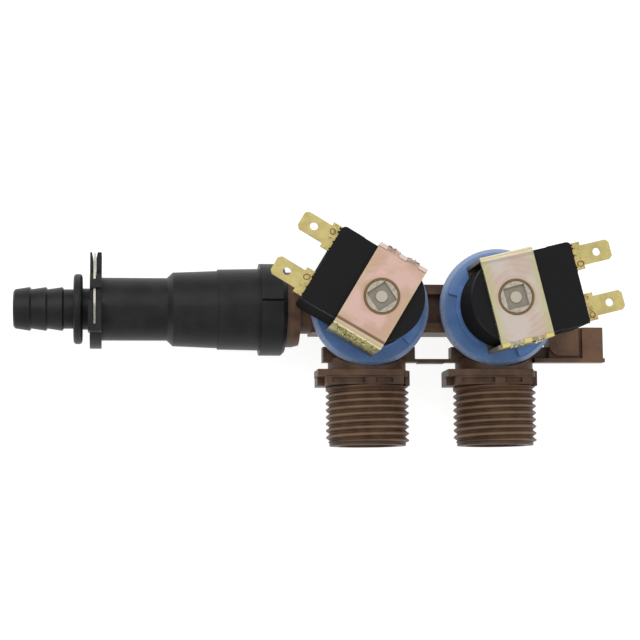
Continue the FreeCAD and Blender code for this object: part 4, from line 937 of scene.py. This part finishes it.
class VALVE_OT_manifold(bpy.types.Operator):
    """Brown moulding of the manifold, and what sits in its inlets"""

    bl_idname = "valve.manifold"
    bl_label = "Manifold"

    def execute(self, context):
        dress(brown_moulding(), "valve_body")
        screen = moulded("strainer_moulding", tint(206, 204, 196), tint(170, 168, 158), spot=0.003)
        dress(screen.material, *both("inlet_screen"))
        washer = moulded("washer_rubber", tint(120, 52, 40), tint(90, 36, 28), rough=0.7, spot=0.002)
        dress(washer.material, *both("flow_washer"))
        return {"FINISHED"}


class VALVE_OT_outlet(bpy.types.Operator):
    """Black outlet tube, nozzle, clip and seals"""

    bl_idname = "valve.outlet"
    bl_label = "Outlet"

    def execute(self, context):
        black = finish("tube")
        tube = moulded("black_moulding", lighter(black, 1.3), lighter(black, 0.8), rough=0.42, spot=0.008)
        tube.set(Specular_IOR_Level=0.22)
        dress(tube.material, "outlet_tube", "barbed_nozzle")
        dress(clip_steel(), "retaining_clip")
        rubber = moulded("seal_rubber", tint(30, 30, 30), tint(20, 20, 20), rough=0.6, spot=0.001)
        dress(rubber.material, "outlet_seal_ring", "nozzle_seal_ring")
        dress(rubber.material, *both("diaphragm"), *both("plunger_seal"))
        return {"FINISHED"}


class VALVE_OT_bonnets(bpy.types.Operator):
    """Blue bonnets and natural guide tubes"""

    bl_idname = "valve.bonnets"
    bl_label = "Bonnets"

    def execute(self, context):
        for side in SIDES:
            dress(blue_moulding(side), f"bonnet_{side}")
            dress(natural_nylon(side), f"guide_tube_{side}")
        return {"FINISHED"}


class VALVE_OT_coils(bpy.types.Operator):
    """Black coil mouldings and what they hold"""

    bl_idname = "valve.coils"
    bl_label = "Coils"

    def execute(self, context):
        for side in SIDES:
            dress(coil_plastic(side), f"coil_moulding_{side}")
        bobbin = moulded("bobbin_moulding", tint(190, 186, 170), tint(160, 156, 140))
        dress(bobbin.material, *both("bobbin"), *both("diaphragm_insert"))
        dress(enamelled_copper(), *both("winding"))
        dress(turned_steel(), *both("plunger"), *both("plunger_spring"))
        return {"FINISHED"}


class VALVE_OT_yokes(bpy.types.Operator):
    """Plated yokes with their staked teeth and burrs"""

    bl_idname = "valve.yokes"
    bl_label = "Yokes"

    def execute(self, context):
        for side in SIDES:
            dress(plating(side), f"yoke_upper_{side}", f"yoke_lower_{side}")
            dress(sleeve_metal(side), f"flux_sleeve_{side}")
            stake_burrs(side)
        fold_burrs()
        return {"FINISHED"}


class VALVE_OT_tabs(bpy.types.Operator):
    """Push-on tabs, the flash beside them and the wire at their roots"""

    bl_idname = "valve.tabs"
    bl_label = "Tabs"

    def execute(self, context):
        for side in SIDES:
            dress(tab_brass(side), f"terminal_rear_{side}", f"terminal_front_{side}")
            moulding_flash(side)
            wire_loops(side)
        return {"FINISHED"}


class VALVE_OT_stage(bpy.types.Operator):
    """Floor, soft light and camera"""

    bl_idname = "valve.stage"
    bl_label = "Stage"

    def execute(self, context):
        stage = context.scene.valve_stage
        lay_floor(stage)
        light_surround(stage)
        hang_lamp("key", place=(-0.35, 0.45, 0.75), size=0.7, power=3.0)
        hang_lamp("fill", place=(0.55, -0.15, 0.7), size=0.6, power=1.2)
        stand_camera(stage)
        context.scene.view_settings.view_transform = "Standard"
        return {"FINISHED"}


class VALVE_PT_panel(bpy.types.Panel):
    """Lists the valve's steps"""

    bl_idname = "VALVE_PT_panel"
    bl_label = "Inlet Valve"
    bl_space_type = "VIEW_3D"
    bl_region_type = "UI"
    bl_category = "Inlet Valve"

    def draw(self, context):
        for step in STEPS:
            self.layout.operator(step.bl_idname)
        for name, group in GROUPS.items():
            for field in group.__annotations__:
                self.layout.prop(getattr(context.scene, name), field)


GROUPS = {"valve_finish": ValveFinish, "valve_sizes": ValveSizes, "valve_stage": ValveStage}
STEPS = (
    VALVE_OT_manifold,
    VALVE_OT_outlet,
    VALVE_OT_bonnets,
    VALVE_OT_coils,
    VALVE_OT_yokes,
    VALVE_OT_tabs,
    VALVE_OT_stage,
)


def register():
    """Registers the valve's settings, steps and panel."""
    for made in (*GROUPS.values(), *STEPS, VALVE_PT_panel):
        bpy.utils.register_class(made)
    for name, group in GROUPS.items():
        setattr(bpy.types.Scene, name, bpy.props.PointerProperty(type=group))


def unregister():
    """Takes them away again."""
    for name in GROUPS:
        delattr(bpy.types.Scene, name)
    for made in reversed((*GROUPS.values(), *STEPS, VALVE_PT_panel)):
        bpy.utils.unregister_class(made)


def main():
    """Registers the add-on and runs every step."""
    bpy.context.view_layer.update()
    register()
    for step in STEPS:
        name = step.bl_idname.split(".")[1]
        getattr(bpy.ops.valve, name)()


if __name__ == "__main__":
    main()
